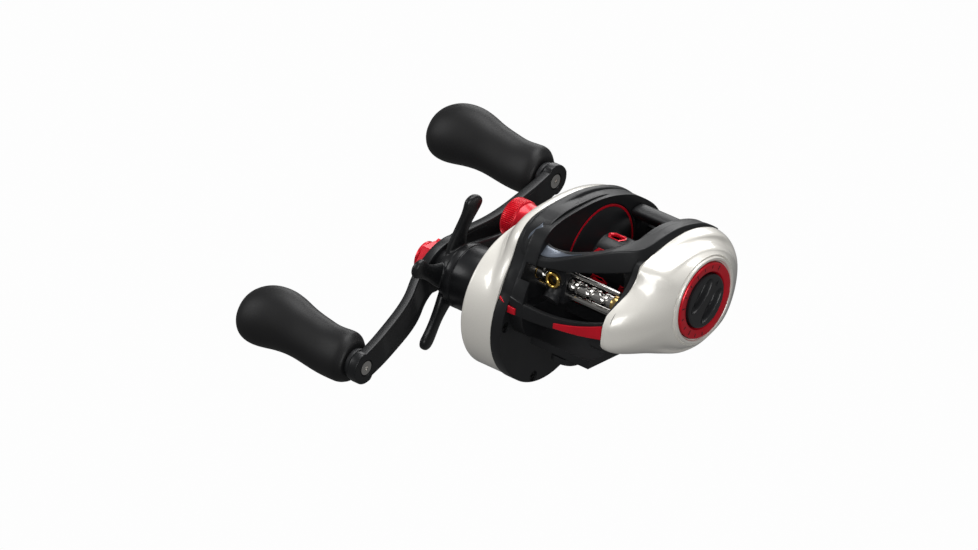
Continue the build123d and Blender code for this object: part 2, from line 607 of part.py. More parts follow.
def handle_nut():
    """Hexagonal nut that holds the arm on the shaft."""
    outer = -(ARM_LEVEL + ARM_THICK)
    body = extrude(across(outer - 3.4) * Pos(HANDLE_Y, HANDLE_Z) * RegularPolygon(5.6, 6), amount=3.4)
    return body - crank_tube(outer - 4, outer + 1, DRIVE_R + FIT)


def nut_retainer():
    """Cap plate over the nut, with its arm along the handle for the retaining screw."""
    outer = -(ARM_LEVEL + ARM_THICK)
    cap = crank_tube(outer - 4.4, outer - 3.45, 5.0)
    bridge = HANDLE_PLANE * block(5.4, 6.9, -1.8, 1.8, -outer + 0.02, -outer + 4.4)
    strap = HANDLE_PLANE * block(4.0, 6.9, -1.8, 1.8, -outer + 3.5, -outer + 4.4)
    foot = HANDLE_PLANE * block(5.8, 13.6, -2.2, 2.2, -outer + 0.02, -outer + 0.9)
    body = cap + bridge + strap + foot
    return body - HANDLE_PLANE * Pos(RETAINER_U, 0, -outer + 0.5) * Cylinder(1.0 + FIT, 4)


def retainer_screw():
    """Small screw through the nut retainer into the arm."""
    outer = ARM_LEVEL + ARM_THICK
    body = Pos(RETAINER_U, 0, outer + 1.4) * Cylinder(1.8, 0.9) + Pos(RETAINER_U, 0, outer + 0.1) * Cylinder(1.0, 2.0)
    return HANDLE_PLANE * (body - Pos(RETAINER_U, 0, outer + 1.9) * Box(2.6, 0.5, 0.6))


def star_arm():
    """Outline of one swept star arm, pointing along +Y."""
    return make_face(Spline((4.0, -3.6), (10.0, -3.6), (15.0, -2.2), (20.5, -2.4), (STAR_TIP_R - 0.6, -1.6),
                            (STAR_TIP_R - 0.6, 1.2), (20.0, 1.6), (15.0, 2.2), (10.0, 4.4), (4.0, 5.0),
                            periodic=True))


def star_drag():
    """Five-armed drag star with its threaded hub."""
    plan = Circle(8.4)
    for index in range(STAR_ARMS):
        plan += Rot(0, 0, STAR_PHASE + index * 360 / STAR_ARMS) * star_arm()
    body = extrude(across(STAR_OUT) * Pos(HANDLE_Y, HANDLE_Z) * plan, amount=STAR_IN - STAR_OUT - 1.2)
    body += crank_tube(STAR_OUT, STAR_IN, 8.4) + crank_tube(STAR_IN, -43.6, 5.0)
    return body - crank_tube(-60, -40, DRIVE_R + RUNNING)


def star_click_ring():
    """Spacer with click detents between the star and the arm."""
    body = crank_tube(-ARM_LEVEL, STAR_OUT - CLEAR, 5.6, DRIVE_R + FIT)
    for index in range(12):
        angle = radians(30 * index)
        body -= tube(STAR_OUT - 1.0, STAR_OUT, 0.35, 0, HANDLE_Y + 4.6 * cos(angle), HANDLE_Z + 4.6 * sin(angle))
    return body


# ---------------------------------------------------------------- spool group
WINDOWS = 6


def spool_body():
    """Perforated spool with concave flanges, central web and hub."""
    right = [(0, 7.2), (9.5, 7.2), (9.5, 10.2), (10.3, 11.2), (12.0, 15.0), (10.9, 15.0), (9.3, 10.5),
             (8.6, ARBOR_R), (0, ARBOR_R)]
    left = [(-x, r) for x, r in right]
    profile = right + left[-2:0:-1]
    body = turned(profile, 0, SPOOL_Z)
    body += spool_tube(-0.6, 0.6, 7.4, 2.4) + spool_tube(-6, 6, 2.6, SHAFT_R + FIT)
    for index in range(WINDOWS):
        for x in (-5.2, 5.2):
            window = extrude(Plane.XY * SlotOverall(5.4, 3.2), amount=12)
            body -= Pos(x, 0, SPOOL_Z) * Rot(index * 360 / WINDOWS, 0, 0) * Pos(0, 0, 3) * window
    return body


def spool_rims():
    """Two coloured rim rings of the spool."""
    return [spool_tube(10.9, 12.0, SPOOL_R, 15.02), spool_tube(-12.0, -10.9, SPOOL_R, 15.02)]


def spool_shaft():
    """Spool shaft with the cross pin that the pinion drives."""
    shaft = spool_tube(-39.6, 21.0, SHAFT_R)
    return shaft + Pos(-16.2, 0, SPOOL_Z) * Rot(90, 0, 0) * Cylinder(0.45, 4.2)


def brake_rotor():
    """Thin aluminium induction cup on the end of the spool."""
    return spool_tube(9.55, 10.1, 9.9, SHAFT_R + FIT) + spool_tube(9.55, 16.4, 9.9, 9.3)


# ---------------------------------------------------------------- palm side
PALM_STEPS = ((PLATE_OUT + 0.1, 1.0), (19.0, 0.90), (22.5, 0.66), (25.6, 0.30), (PALM_FACE, 0.0))
PALM_RIM_R = 13.4


def palm_skin(wall, end):
    """Solid shape of the palm cover, pulled in by a wall thickness."""
    sections = []
    for x, share in PALM_STEPS:
        points = blended(PALM_PROFILE, SPOOL_AXIS, PALM_RIM_R, share)
        sections.append((min(x, end) if wall else x, shrunk(points, SPOOL_AXIS, wall) if wall else points))
    return skin(sections)


def palm_cover():
    """Palm-side shell with the seat for the brake dial."""
    body = palm_skin(0, PALM_FACE) - palm_skin(CASE_WALL, PALM_FACE - 1.6)
    body += spool_tube(24.6, PALM_FACE - 1.0, PALM_RIM_R - 0.2)
    body -= spool_tube(25.6, DIAL_FACE, RING_SEAT_R)
    return body - spool_tube(24, DIAL_FACE, 8.8)


def palm_side_plate():
    """Inner plate of the palm side, with the bearing seat."""
    body = spool_tube(17.8, 19.0, 15.6) + spool_tube(15.6, 17.8, 15.6, 14.4) + spool_tube(17.8, 22.0, 6.2)
    body -= spool_tube(17, 21.4, 5.0 + FIT)
    for index in range(3):
        angle = radians(120 * index + 90)
        body -= tube(17, 20, 1.4, 0, 11.5 * cos(angle), SPOOL_Z + 11.5 * sin(angle))
    return body


def magnet_carrier():
    """Ring that slides the brake magnets over the rotor, with three drive legs."""
    body = spool_tube(13.4, 16.4, 13.2, 11.9)
    for index in range(3):
        angle = radians(120 * index + 90)
        y, z = 11.5 * cos(angle), SPOOL_Z + 11.5 * sin(angle)
        body += tube(16.0, 20.6, 1.0, 0, y, z)
    return body


def brake_magnets():
    """Eight magnets round the inside of the carrier."""
    magnets = []
    for index in range(8):
        magnet = Pos(14.6, 0, SPOOL_Z) * Rot(index * 45 + 22.5, 0, 0) * Pos(0, 0, 11.15) * Box(2.4, 3.2, 1.1)
        magnets.append(magnet)
    return magnets


def brake_dial():
    """Brake dial with a raised grip bar between two pockets."""
    body = spool_tube(24.2, DIAL_FACE, DIAL_R) + spool_tube(22.4, 24.2, 10.6)
    pocket = spool_tube(26.2, DIAL_FACE + 1, DIAL_R - 1.3)
    grip = Pos(26, 0, SPOOL_Z) * Rot(-45, 0, 0) * Box(8, 4.2, 30)
    return body - (pocket - grip)


def dial_ring():
    """Coloured scale ring round the brake dial."""
    body = spool_tube(25.6, PALM_FACE + 0.2, RING_R, DIAL_R + CLEAR)
    for index in range(12):
        turn = 40 + index * 20
        notch = Pos(PALM_FACE + 0.2, 0, SPOOL_Z) * Rot(turn, 0, 0) * Pos(0, 0, 10.6) * Box(0.5, 0.35, 1.7)
        body -= notch
    return body


# ---------------------------------------------------------------- tension knob
def tension_knob():
    """Cast-control cap with a knurled rim."""
    skirt = turned([(-31.6, 5.7), (-39.6, 5.9), (-40.0, 6.1), (-43.9, 6.1), (TENSION_OUT, 5.6), (TENSION_OUT, 0),
                    (-41.4, 0), (-41.4, 4.66), (-31.6, 4.66)], 0, SPOOL_Z)
    ribs = 40
    points = []
    for index in range(ribs):
        for radius, share in ((TENSION_R - 0.4, 0.0), (TENSION_R, 0.25), (TENSION_R, 0.6), (TENSION_R - 0.4, 0.85)):
            angle = 2 * pi * (index + share) / ribs
            points.append((radius * cos(angle), SPOOL_Z + radius * sin(angle)))
    knurl = extrude(across(-43.9) * make_face(Polyline(*points, close=True)), amount=3.9)
    return skirt + (knurl - spool_tube(-45, -39, 5.5))


def tension_washers():
    """Friction shims and the copper disc under the tension cap."""
    return [spool_tube(-41.38, -40.6, 4.4), spool_tube(-40.5, -39.9, 4.2)]


# ---------------------------------------------------------------- line guide
def pawl_plane():
    """Plane at the worm shaft, its Z along the pawl's axis, forwards and down."""
    tilt = radians(PAWL_TILT)
    return Plane(origin=(GUIDE_X, WORM_Y, WORM_Z), z_dir=(0, -cos(tilt), -sin(tilt)), x_dir=(1, 0, 0))


def line_guide():
    """Carriage on the worm and rods, with the guide's boss and the pawl barrel."""
    x0, x1 = GUIDE_X - GUIDE_HALF, GUIDE_X + GUIDE_HALF
    body = block(x0, x1, -26.8, -21.2, 17.4, 27.3)
    boss = Pos(GUIDE_X, -26.9, GUIDE_Z) * Rot(90, 0, 0) * Cylinder(3.0, 2.6)
    barrel = pawl_plane() * Pos(0, 0, 3.6) * Cylinder(2.3, 3.2)
    body += boss + barrel
    body -= tube(x0 - 1, x1 + 1, WORM_R + CLEAR, 0, WORM_Y, WORM_Z)
    body -= tube(x0 - 1, x1 + 1, UPPER_ROD_R + RUNNING, 0, ROD_Y, UPPER_ROD_Z)
    body -= tube(x0 - 1, x1 + 1, LOWER_ROD_R + RUNNING, 0, ROD_Y, LOWER_ROD_Z)
    body -= pawl_plane() * Pos(0, 0, 3.2) * Cylinder(1.3 + RUNNING, 4.4)
    body -= Pos(GUIDE_X, -27.6, GUIDE_Z) * Rot(90, 0, 0) * Cylinder(2.2, 1.8)
    body -= pawl_plane() * Pos(0, 0, 6.21) * Cylinder(2.5 + FIT, 2.0)
    slot = Pos(GUIDE_X, -24.0, GUIDE_Z + 1.5) * Box(2.4, 7, 1.2)
    return body - slot


def guide_ring():
    """Hard line-guide ring, its hole along Y."""
    profile = [(1.5, -28.9), (1.8, -29.2), (2.3, -29.2), (2.6, -28.9), (2.6, -28.25), (2.18, -28.25),
               (2.18, -26.9), (1.5, -26.9)]
    face = make_face(Polyline(*profile, close=True))
    return Pos(GUIDE_X, 0, GUIDE_Z) * revolve(face, Axis.Y)


def pawl():
    """Pawl whose blade follows the worm's groove."""
    body = pawl_plane() * Pos(0, 0, 3.45) * Cylinder(1.3, 2.7)
    return body


def pawl_cap():
    """Cap that keeps the pawl in its barrel."""
    body = pawl_plane() * (Pos(0, 0, 6.05) * Cylinder(2.5, 1.6))
    slot = pawl_plane() * Pos(0, 0, 6.85) * Box(3.6, 0.6, 0.6)
    return body - slot


def worm_shaft():
    """Worm shaft of the level wind with its journals."""
    body = tube(BAY_LEFT + 0.1, BAY_RIGHT - 0.1, WORM_R, 0, WORM_Y, WORM_Z)
    return body + tube(-19.2, 15.0, 1.2, 0, WORM_Y, WORM_Z)


def worm_bushes():
    """Bushes that carry the worm shaft in the side plates."""
    left = tube(-17.2, BAY_LEFT - 0.1, BUSH_R, 1.2 + RUNNING, WORM_Y, WORM_Z)
    right = tube(BAY_RIGHT + 0.1, PLATE_OUT, BUSH_R, 1.2 + RUNNING, WORM_Y, WORM_Z)
    return left, right


def guide_rods():
    """Upper and lower rods that stop the carriage from turning."""
    return [tube(-15.3, 15.3, UPPER_ROD_R, 0, ROD_Y, UPPER_ROD_Z),
            tube(-15.3, 15.3, LOWER_ROD_R, 0, ROD_Y, LOWER_ROD_Z)]


# ---------------------------------------------------------------- thumb bar
def thumb_bar():
    """Clutch bar behind the spool, sliding down between the side plates."""
    points = [(THUMB_Y - 3.2, THUMB_Z + 1.6), (THUMB_Y - 0.6, THUMB_Z + 2.4), (THUMB_Y + 3.2, THUMB_Z + 0.8),
              (THUMB_Y + 3.6, THUMB_Z - 1.0), (THUMB_Y + 0.5, THUMB_Z - 0.6), (THUMB_Y - 2.4, THUMB_Z - 0.6)]
    body = prism(points, -PLATE_IN + CLEAR, PLATE_IN - CLEAR)
    body += thumb_frame() * block(-19.2, PLATE_OUT - CLEAR, -2.0, 2.0, -0.9, 1.4)
    leg = [(THUMB_Y + 1.2, THUMB_Z + 1.0), (THUMB_Y - 1.2, THUMB_Z + 1.0), (CAM_REACH - 2.0, 27.4),
           (CAM_REACH - 2.0, 25.4), (CAM_REACH, 25.4), (THUMB_Y + 1.6, THUMB_Z - 1.2)]
    return body + extrude(across(-19.2) * make_face(Polyline(*leg, close=True)), amount=0.8)


# ---------------------------------------------------------------- build
def group(shapes):
    """Several separate solids in one node."""
    return Compound(children=list(shapes))


def build():
    """Make every sub-part and write it."""
    os.makedirs("parts", exist_ok=True)
    frame = frame_body()
    hood = hood_body() - frame
    insert = hood_insert(hood)
    washers, plate, cones = drag_stack()
    save("frame", frame)
    save("reel_foot", reel_foot())
    save("foot_screws", group(foot_screws()))
    save("accent_strips", group(accent_strips()))
    save("hood", hood - insert)
    save("hood_insert", insert)
    save("gear_housing", gear_housing())
    save("gear_cover", gear_cover())
    save("housing_screws", group(housing_screws()))
    save("drag_boss", drag_boss())
    save("yoke_posts", group(yoke_posts()))
    save("yoke_springs", group(yoke_springs()))
    save("clutch_yoke", clutch_yoke())
    save("clutch_cam", clutch_cam())
    save("pinion", pinion())
    save("pinion_bearings", group([spool_tube(-18.6, -16.1, 4.5, 2.2 + RUNNING),
                                   spool_tube(-29.6, -28.2, 4.2, 2.0 + RUNNING)]))
    save("drive_shaft", drive_shaft())
    save("drive_shaft_bearing", crank_tube(-17.5, -15.9, 4.0, 2.0 + RUNNING))
    save("main_gear", main_gear())
    save("drag_washers", group(washers))
    save("drag_pressure_plate", plate)
    save("drag_spring_washers", group(cones))
    save("oneway_bearing", crank_tube(-40.6, -32.1, 7.0, 4.2 + RUNNING))
    save("oneway_sleeve", crank_tube(-41.4, -25.3, 4.2, DRIVE_R + FIT))
    save("wind_gear", wind_gear())
    save("worm_gear", worm_gear())
    save("worm_shaft", worm_shaft())
    save("worm_bushes", group(worm_bushes()))
    save("guide_rods", group(guide_rods()))
    save("line_guide", line_guide())
    save("guide_ring", guide_ring())
    save("pawl", pawl())
    save("pawl_cap", pawl_cap())
    save("star_drag", star_drag())
    save("star_click_ring", star_click_ring())
    save("handle_arm", handle_arm())
    save("handle_nut", handle_nut())
    save("nut_retainer", nut_retainer())
    save("retainer_screw", retainer_screw())
    save("knob_shafts", group(knob_shafts()))
    save("knob_washers", group(knob_washers()))
    for name, side in (("front", -1), ("rear", 1)):
        save(f"knob_{name}", knob(side))
        save(f"knob_bearings_{name}", group(knob_bearings(side)))
    save("spool", spool_body())
    save("spool_rims", group(spool_rims()))
    save("spool_shaft", spool_shaft())
    save("brake_rotor", brake_rotor())
    save("spool_bearings", group([spool_tube(-37.4, -35.1, 4.0, SHAFT_R + RUNNING),
                                  spool_tube(18.2, 21.3, 5.0, SHAFT_R + RUNNING)]))
    save("palm_side_plate", palm_side_plate())
    save("palm_cover", palm_cover())
    save("magnet_carrier", magnet_carrier())
    save("brake_magnets", group(brake_magnets()))
    save("brake_dial", brake_dial())
    save("dial_ring", dial_ring())
    save("tension_knob", tension_knob())
    save("tension_washers", group(tension_washers()))
    save("thumb_bar", thumb_bar())


build()
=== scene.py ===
"""Looks of a low-profile baitcasting reel: covers, hood, handle, drag star, brake dial and level wind."""

import json
import logging
from dataclasses import dataclass
from enum import Enum

import bmesh
import bpy
import numpy as np
from mathutils import Matrix, Vector


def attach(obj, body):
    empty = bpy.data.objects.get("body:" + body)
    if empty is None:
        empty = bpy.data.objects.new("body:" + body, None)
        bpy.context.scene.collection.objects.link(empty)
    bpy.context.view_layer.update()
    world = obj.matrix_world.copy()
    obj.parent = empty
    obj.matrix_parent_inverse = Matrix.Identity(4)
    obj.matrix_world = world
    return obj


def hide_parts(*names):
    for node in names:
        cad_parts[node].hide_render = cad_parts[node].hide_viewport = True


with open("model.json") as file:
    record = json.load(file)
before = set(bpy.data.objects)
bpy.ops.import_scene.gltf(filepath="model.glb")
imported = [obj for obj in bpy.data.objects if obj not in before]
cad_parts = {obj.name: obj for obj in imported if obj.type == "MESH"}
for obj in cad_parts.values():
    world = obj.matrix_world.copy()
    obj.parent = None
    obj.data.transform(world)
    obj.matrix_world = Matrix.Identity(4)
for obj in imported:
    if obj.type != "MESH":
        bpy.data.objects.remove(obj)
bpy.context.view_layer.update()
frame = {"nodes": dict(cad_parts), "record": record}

MM = 0.001
LOG = logging.getLogger("reel")

# Stations shared with the CAD frame, in millimetres.
SPOOL_AXIS = (0.0, 21.5)
CRANK_AXIS = (-16.0, 6.11)
WORM_AXIS = (-24.0, 22.8)


# ------------------------------------------------------------------ curves and grids
def spline(points: np.ndarray, count: int, closed: bool = False) -> np.ndarray:
    """Cubic spline through points, with chord length as its parameter.

    Args:
        points: Points in rows, of any number of coordinates.
        count: Number of samples, evenly spaced in chord length.
        closed: Whether the curve returns smoothly to its first point.

    Returns:
        Samples in rows; a closed curve doesn't repeat its first point.
    """
    p = np.asarray(points, float)
    if closed:
        p = np.vstack([p, p[:1]])
    t = np.concatenate([[0.0], np.cumsum(np.linalg.norm(np.diff(p, axis=0), axis=1))])
    h = np.diff(t)
    n = len(t)
    slope = np.diff(p, axis=0) / h[:, None]
    system, right = np.zeros((n, n)), np.zeros((n, p.shape[1]))
    i = np.arange(1, n - 1)
    system[i, i - 1], system[i, i], system[i, i + 1] = h[i - 1], 2 * (h[i - 1] + h[i]), h[i]
    right[i] = 6 * (slope[i] - slope[i - 1])
    if closed:
        system[0, 0], system[0, -1] = 1, -1
        system[-1, 0], system[-1, 1] = 2 * h[0], h[0]
        system[-1, -2], system[-1, -1] = h[-1], 2 * h[-1]
        right[-1] = 6 * (slope[0] - slope[-1])
    else:
        system[0, 0] = system[-1, -1] = 1
    bend = np.linalg.solve(system, right)
    s = np.linspace(0, t[-1], count, endpoint=not closed)
    k = np.clip(np.searchsorted(t, s, side="right") - 1, 0, n - 2)
    u, w, span = (s - t[k])[:, None], (t[k + 1] - s)[:, None], h[k][:, None]
    cubic = (bend[k] * w ** 3 + bend[k + 1] * u ** 3) / (6 * span)
    return cubic + (p[k] / span - bend[k] * span / 6) * w + (p[k + 1] / span - bend[k + 1] * span / 6) * u


def smoothstep(low: float, high: float, x: np.ndarray) -> np.ndarray:
    """Smooth 0 to 1 ramp of x between low and high."""
    t = np.clip((np.asarray(x, float) - low) / (high - low), 0, 1)
    return t * t * (3 - 2 * t)


def bump(x: np.ndarray, centre: float | np.ndarray, width: float) -> np.ndarray:
    """Gaussian hill of height 1 over x."""
    return np.exp(-(((x - centre) / width) ** 2))


def rounded(corners: np.ndarray, radius: float, steps: int = 5) -> np.ndarray:
    """Replace each corner of closed polygons by a quadratic curve that starts and ends on its two edges.

    Args:
        corners: Polygons as (rows, corners, 3).
        radius: Distance from the corner to the ends of the curve, at most 0.45 of an edge.
        steps: Samples on each curve.

    Returns:
        Points as (rows, corners * steps, 3).
    """
    before = np.roll(corners, 1, axis=1) - corners
    after = np.roll(corners, -1, axis=1) - corners
    reach_before = np.linalg.norm(before, axis=2, keepdims=True) + 1e-9
    reach_after = np.linalg.norm(after, axis=2, keepdims=True) + 1e-9
    start = corners + before / reach_before * np.minimum(radius, 0.45 * reach_before)
    end = corners + after / reach_after * np.minimum(radius, 0.45 * reach_after)
    t = np.linspace(0, 1, steps)[None, None, :, None]
    start, middle, end = (p[:, :, None] for p in (start, corners, end))
    curve = (1 - t) ** 2 * start + 2 * t * (1 - t) * middle + t ** 2 * end
    return curve.reshape(len(corners), -1, 3)


def turned(profile: np.ndarray, axis: tuple[float, float], sides: int = 96) -> np.ndarray:
    """Surface of revolution about a line along X: (x, r) goes to (x, y + r cos a, z + r sin a).

    Args:
        profile: Points (x, radius) in rows.
        axis: The line's y and z.
        sides: Samples round the axis.

    Returns:
        Grid (profile points, sides, 3).
    """
    profile = np.asarray(profile, float)
    angle = np.linspace(0, 2 * np.pi, sides, endpoint=False)[None, :]
    x, r = profile[:, :1], profile[:, 1:2]
    return np.stack([x + 0 * angle, axis[0] + r * np.cos(angle), axis[1] + r * np.sin(angle)], axis=2)


def closed_rows(grid: np.ndarray) -> np.ndarray:
    """Close both ends of a grid of rings by a pole at each end ring's centre."""
    first, last = grid[:1].mean(axis=1, keepdims=True), grid[-1:].mean(axis=1, keepdims=True)
    pole = np.ones((1, grid.shape[1], 1))
    return np.concatenate([first * pole, grid, last * pole])


def grid_mesh(name: str, grids: list[tuple[np.ndarray, bool]], crease: float = 32.0) -> bpy.types.Object:
    """Closed mesh object from grids whose columns wrap round.

    Args:
        name: Object name.
        grids: Pairs of a grid (rows, columns, 3) in millimetres and whether its rows wrap round too.
        crease: Edges that turn more than this many degrees stay sharp.

    Returns:
        The object, in metres, with merged doubles and faces pointing outwards.
    """
    points, faces, base = [], [], 0
    for grid, wrap_rows in grids:
        rows, cols = grid.shape[:2]
        index = base + np.arange(rows * cols).reshape(rows, cols)
        below = np.roll(index, -1, axis=0) if wrap_rows else index[1:]
        here = index if wrap_rows else index[:-1]
        quads = np.stack([here, np.roll(here, -1, axis=1), np.roll(below, -1, axis=1), below], axis=2)
        points.append(grid.reshape(-1, 3) * MM)
        faces.append(quads.reshape(-1, 4))
        base += rows * cols
    mesh = bpy.data.meshes.new(name)
    mesh.from_pydata(np.concatenate(points).tolist(), [], np.concatenate(faces).tolist())
    return finished(name, mesh, crease)


def finished(name: str, mesh: bpy.types.Mesh, crease: float = 32.0) -> bpy.types.Object:
    """Merge doubles, point faces outwards, shade smooth with sharp creases, and link the object."""
    work = bmesh.new()
    work.from_mesh(mesh)
    bmesh.ops.remove_doubles(work, verts=work.verts, dist=1e-7)
    bmesh.ops.dissolve_degenerate(work, edges=work.edges, dist=1e-8)
    bmesh.ops.recalc_face_normals(work, faces=work.faces)
    work.to_mesh(mesh)
    work.free()
    mesh.shade_smooth()
    mesh.set_sharp_from_angle(angle=np.radians(crease))
    piece = bpy.data.objects.new(name, mesh)
    bpy.context.scene.collection.objects.link(piece)
    return piece


def applied(piece: bpy.types.Object, crease: float = 32.0) -> bpy.types.Object:
    """Apply a piece's modifiers to its mesh and finish it again."""
    bpy.context.view_layer.update()
    evaluated = piece.evaluated_get(bpy.context.evaluated_depsgraph_get())
    mesh = bpy.data.meshes.new_from_object(evaluated)
    name = piece.name
    bpy.data.objects.remove(piece)
    return finished(name, mesh, crease)


# ------------------------------------------------------------------ finishes
class Texture(Enum):
    """Surface detail that a finish carries."""

    FINE_GRAIN = "fine grain"
    FLAKES = "metal flakes"
    TURNED = "turning lines"
    BRUSHED = "brushed along X"
    FOAM = "closed-cell foam"
    WEAVE = "carbon weave"


@dataclass(frozen=True)
class Finish:
    """One procedural finish.

    The base colour varies by a noise between its dark and light tones, and the texture sets bump and
    roughness variation. Lengths are in millimetres.
    """

    name: str
    colour: tuple[float, float, float]
    rough: float
    metallic: float = 0.0
    coat: float = 0.0
    texture: Texture = Texture.FINE_GRAIN
    grain: float = 0.35
    relief: float = 0.006
    tone: float = 0.12
    specular: float = 0.5

    def material(self) -> bpy.types.Material:
        """The node material of this finish, made once."""
        known = bpy.data.materials.get("look_" + self.name)
        if known:
            return known
        made = bpy.data.materials.new("look_" + self.name)
        made.use_nodes = True
        tree = made.node_tree
        shader = tree.nodes["Principled BSDF"]
        shader.inputs["Metallic"].default_value = self.metallic
        shader.inputs["Coat Weight"].default_value = self.coat
        shader.inputs["Coat Roughness"].default_value = 0.06
        shader.inputs["Specular IOR Level"].default_value = self.specular
        place = tree.nodes.new("ShaderNodeTexCoord").outputs["Object"]
        pattern = self._pattern(tree, place)
        self._colours(tree, place, shader)
        spread = tree.nodes.new("ShaderNodeMapRange")
        spread.inputs["To Min"].default_value = max(self.rough - 0.06, 0.02)
        spread.inputs["To Max"].default_value = self.rough + 0.06
        tree.links.new(pattern, spread.inputs["Value"])
        tree.links.new(spread.outputs["Result"], shader.inputs["Roughness"])
        relief = tree.nodes.new("ShaderNodeBump")
        relief.inputs["Strength"].default_value = 1.0
        relief.inputs["Distance"].default_value = self.relief * MM
        tree.links.new(pattern, relief.inputs["Height"])
        tree.links.new(relief.outputs["Normal"], shader.inputs["Normal"])
        return made

    def _noise(self, tree: bpy.types.NodeTree, place, size: float, detail: float = 3.0):
        """Noise of a feature size in millimetres over the object's own coordinates."""
        noise = tree.nodes.new("ShaderNodeTexNoise")
        noise.inputs["Scale"].default_value = 1.0 / (size * MM)
        noise.inputs["Detail"].default_value = detail
        tree.links.new(place, noise.inputs["Vector"])
        return noise.outputs["Fac"]

    def _pattern(self, tree: bpy.types.NodeTree, place):
        """Height pattern, 0 to 1, of this finish's texture."""
        if self.texture is Texture.WEAVE:
            weave = tree.nodes.new("ShaderNodeTexChecker")
            weave.inputs["Scale"].default_value = 1.0 / (self.grain * MM)
            tree.links.new(place, weave.inputs["Vector"])
            return weave.outputs["Fac"]
        if self.texture in (Texture.BRUSHED, Texture.TURNED):
            stretch = tree.nodes.new("ShaderNodeMapping")
            along = (0.04, 1.0, 1.0) if self.texture is Texture.BRUSHED else (1.0, 0.05, 0.05)
            stretch.inputs["Scale"].default_value = along
            tree.links.new(place, stretch.inputs["Vector"])
            return self._noise(tree, stretch.outputs["Vector"], self.grain, 2.0)
        if self.texture is Texture.FLAKES:
            cells = tree.nodes.new("ShaderNodeTexVoronoi")
            cells.inputs["Scale"].default_value = 1.0 / (self.grain * MM)
            tree.links.new(place, cells.inputs["Vector"])
            return cells.outputs["Distance"]
        if self.texture is Texture.FOAM:
            fine = self._noise(tree, place, self.grain, 5.0)
            cells = tree.nodes.new("ShaderNodeTexVoronoi")
            cells.inputs["Scale"].default_value = 0.6 / (self.grain * MM)
            tree.links.new(place, cells.inputs["Vector"])
            mixed = tree.nodes.new("ShaderNodeMath")
            mixed.operation = "MULTIPLY"
            tree.links.new(fine, mixed.inputs[0])
            tree.links.new(cells.outputs["Distance"], mixed.inputs[1])
            return mixed.outputs["Value"]
        return self._noise(tree, place, self.grain, 4.0)

    def _colours(self, tree: bpy.types.NodeTree, place, shader) -> None:
        """Slow tone variation of the base colour, with sparkle in a flaked paint."""
        size = self.grain if self.texture is Texture.FLAKES else 9.0
        cloud = self._noise(tree, place, size)
        ramp = tree.nodes.new("ShaderNodeValToRGB")
        dark = [c * (1 - self.tone) for c in self.colour]
        light = [min(c * (1 + self.tone), 1.0) for c in self.colour]
        ramp.color_ramp.elements[0].position, ramp.color_ramp.elements[0].color = 0.3, (*dark, 1)
        ramp.color_ramp.elements[1].position, ramp.color_ramp.elements[1].color = 0.7, (*light, 1)
        tree.links.new(cloud, ramp.inputs["Fac"])
        tree.links.new(ramp.outputs["Color"], shader.inputs["Base Color"])


PEARL = Finish("pearl_white", (0.84, 0.815, 0.755), 0.34, 0.12, 0.8, Texture.FLAKES, 0.12, 0.002, 0.05)
GRAPHITE = Finish("frame_graphite", (0.011, 0.0115, 0.0125), 0.42, 0.0, 0.05, Texture.FINE_GRAIN, 0.18, 0.004,
                  specular=0.28)
RED = Finish("red_anodised", (0.72, 0.006, 0.022), 0.30, 0.35, 0.15, Texture.TURNED, 0.12, 0.003, 0.10)
BLACK_ANODISED = Finish("black_anodised", (0.010, 0.0105, 0.0115), 0.36, 0.1, 0.05, Texture.FINE_GRAIN, 0.15,
                        0.003, specular=0.32)
FOAM = Finish("knob_foam", (0.0085, 0.0085, 0.009), 0.52, 0.0, 0.0, Texture.FOAM, 0.22, 0.012, 0.15, 0.3)
NYLON = Finish("black_nylon", (0.014, 0.0145, 0.016), 0.45, 0.0, 0.0, Texture.FINE_GRAIN,
               0.2, 0.005, specular=0.3)
DIAL_BLACK = Finish("black_gloss", (0.014, 0.0145, 0.016), 0.38, 0.0, 0.15, Texture.FINE_GRAIN, 0.2, 0.003)
GREY = Finish("grey_inlay", (0.13, 0.15, 0.185), 0.34, 0.5, 0.4, Texture.BRUSHED, 0.15, 0.002, 0.08)
STEEL = Finish("steel", (0.60, 0.585, 0.56), 0.22, 1.0, 0.0, Texture.BRUSHED, 0.12, 0.002, 0.06)
BLACK_STEEL = Finish("black_steel", (0.03, 0.03, 0.032), 0.34, 0.9, 0.0, Texture.TURNED, 0.15, 0.003)
ALUMINIUM = Finish("bare_aluminium", (0.70, 0.71, 0.72), 0.30, 1.0, 0.0, Texture.TURNED, 0.14, 0.003, 0.06)
BRASS = Finish("brass", (0.62, 0.43, 0.16), 0.27, 1.0, 0.0, Texture.TURNED, 0.14, 0.003)
COPPER = Finish("copper", (0.60, 0.28, 0.14), 0.30, 1.0, 0.0, Texture.TURNED, 0.14, 0.003)
GOLD = Finish("gold", (0.83, 0.55, 0.13), 0.18, 1.0, 0.3, Texture.TURNED, 0.10, 0.002, 0.05)
CARBON = Finish("carbon", (0.03, 0.031, 0.034), 0.40, 0.0, 0.3, Texture.WEAVE, 0.8, 0.01)
NICKEL = Finish("magnet_nickel", (0.62, 0.62, 0.63), 0.22, 1.0, 0.0, Texture.FINE_GRAIN, 0.1, 0.002)
TICK_BLACK = Finish("tick_black", (0.01, 0.01, 0.011), 0.5)
FINISHES = {f.name: f for f in (PEARL, GRAPHITE, RED, BLACK_ANODISED, FOAM, NYLON, DIAL_BLACK, GREY, STEEL,
                                BLACK_STEEL, ALUMINIUM, BRASS, COPPER, GOLD, CARBON, NICKEL)}


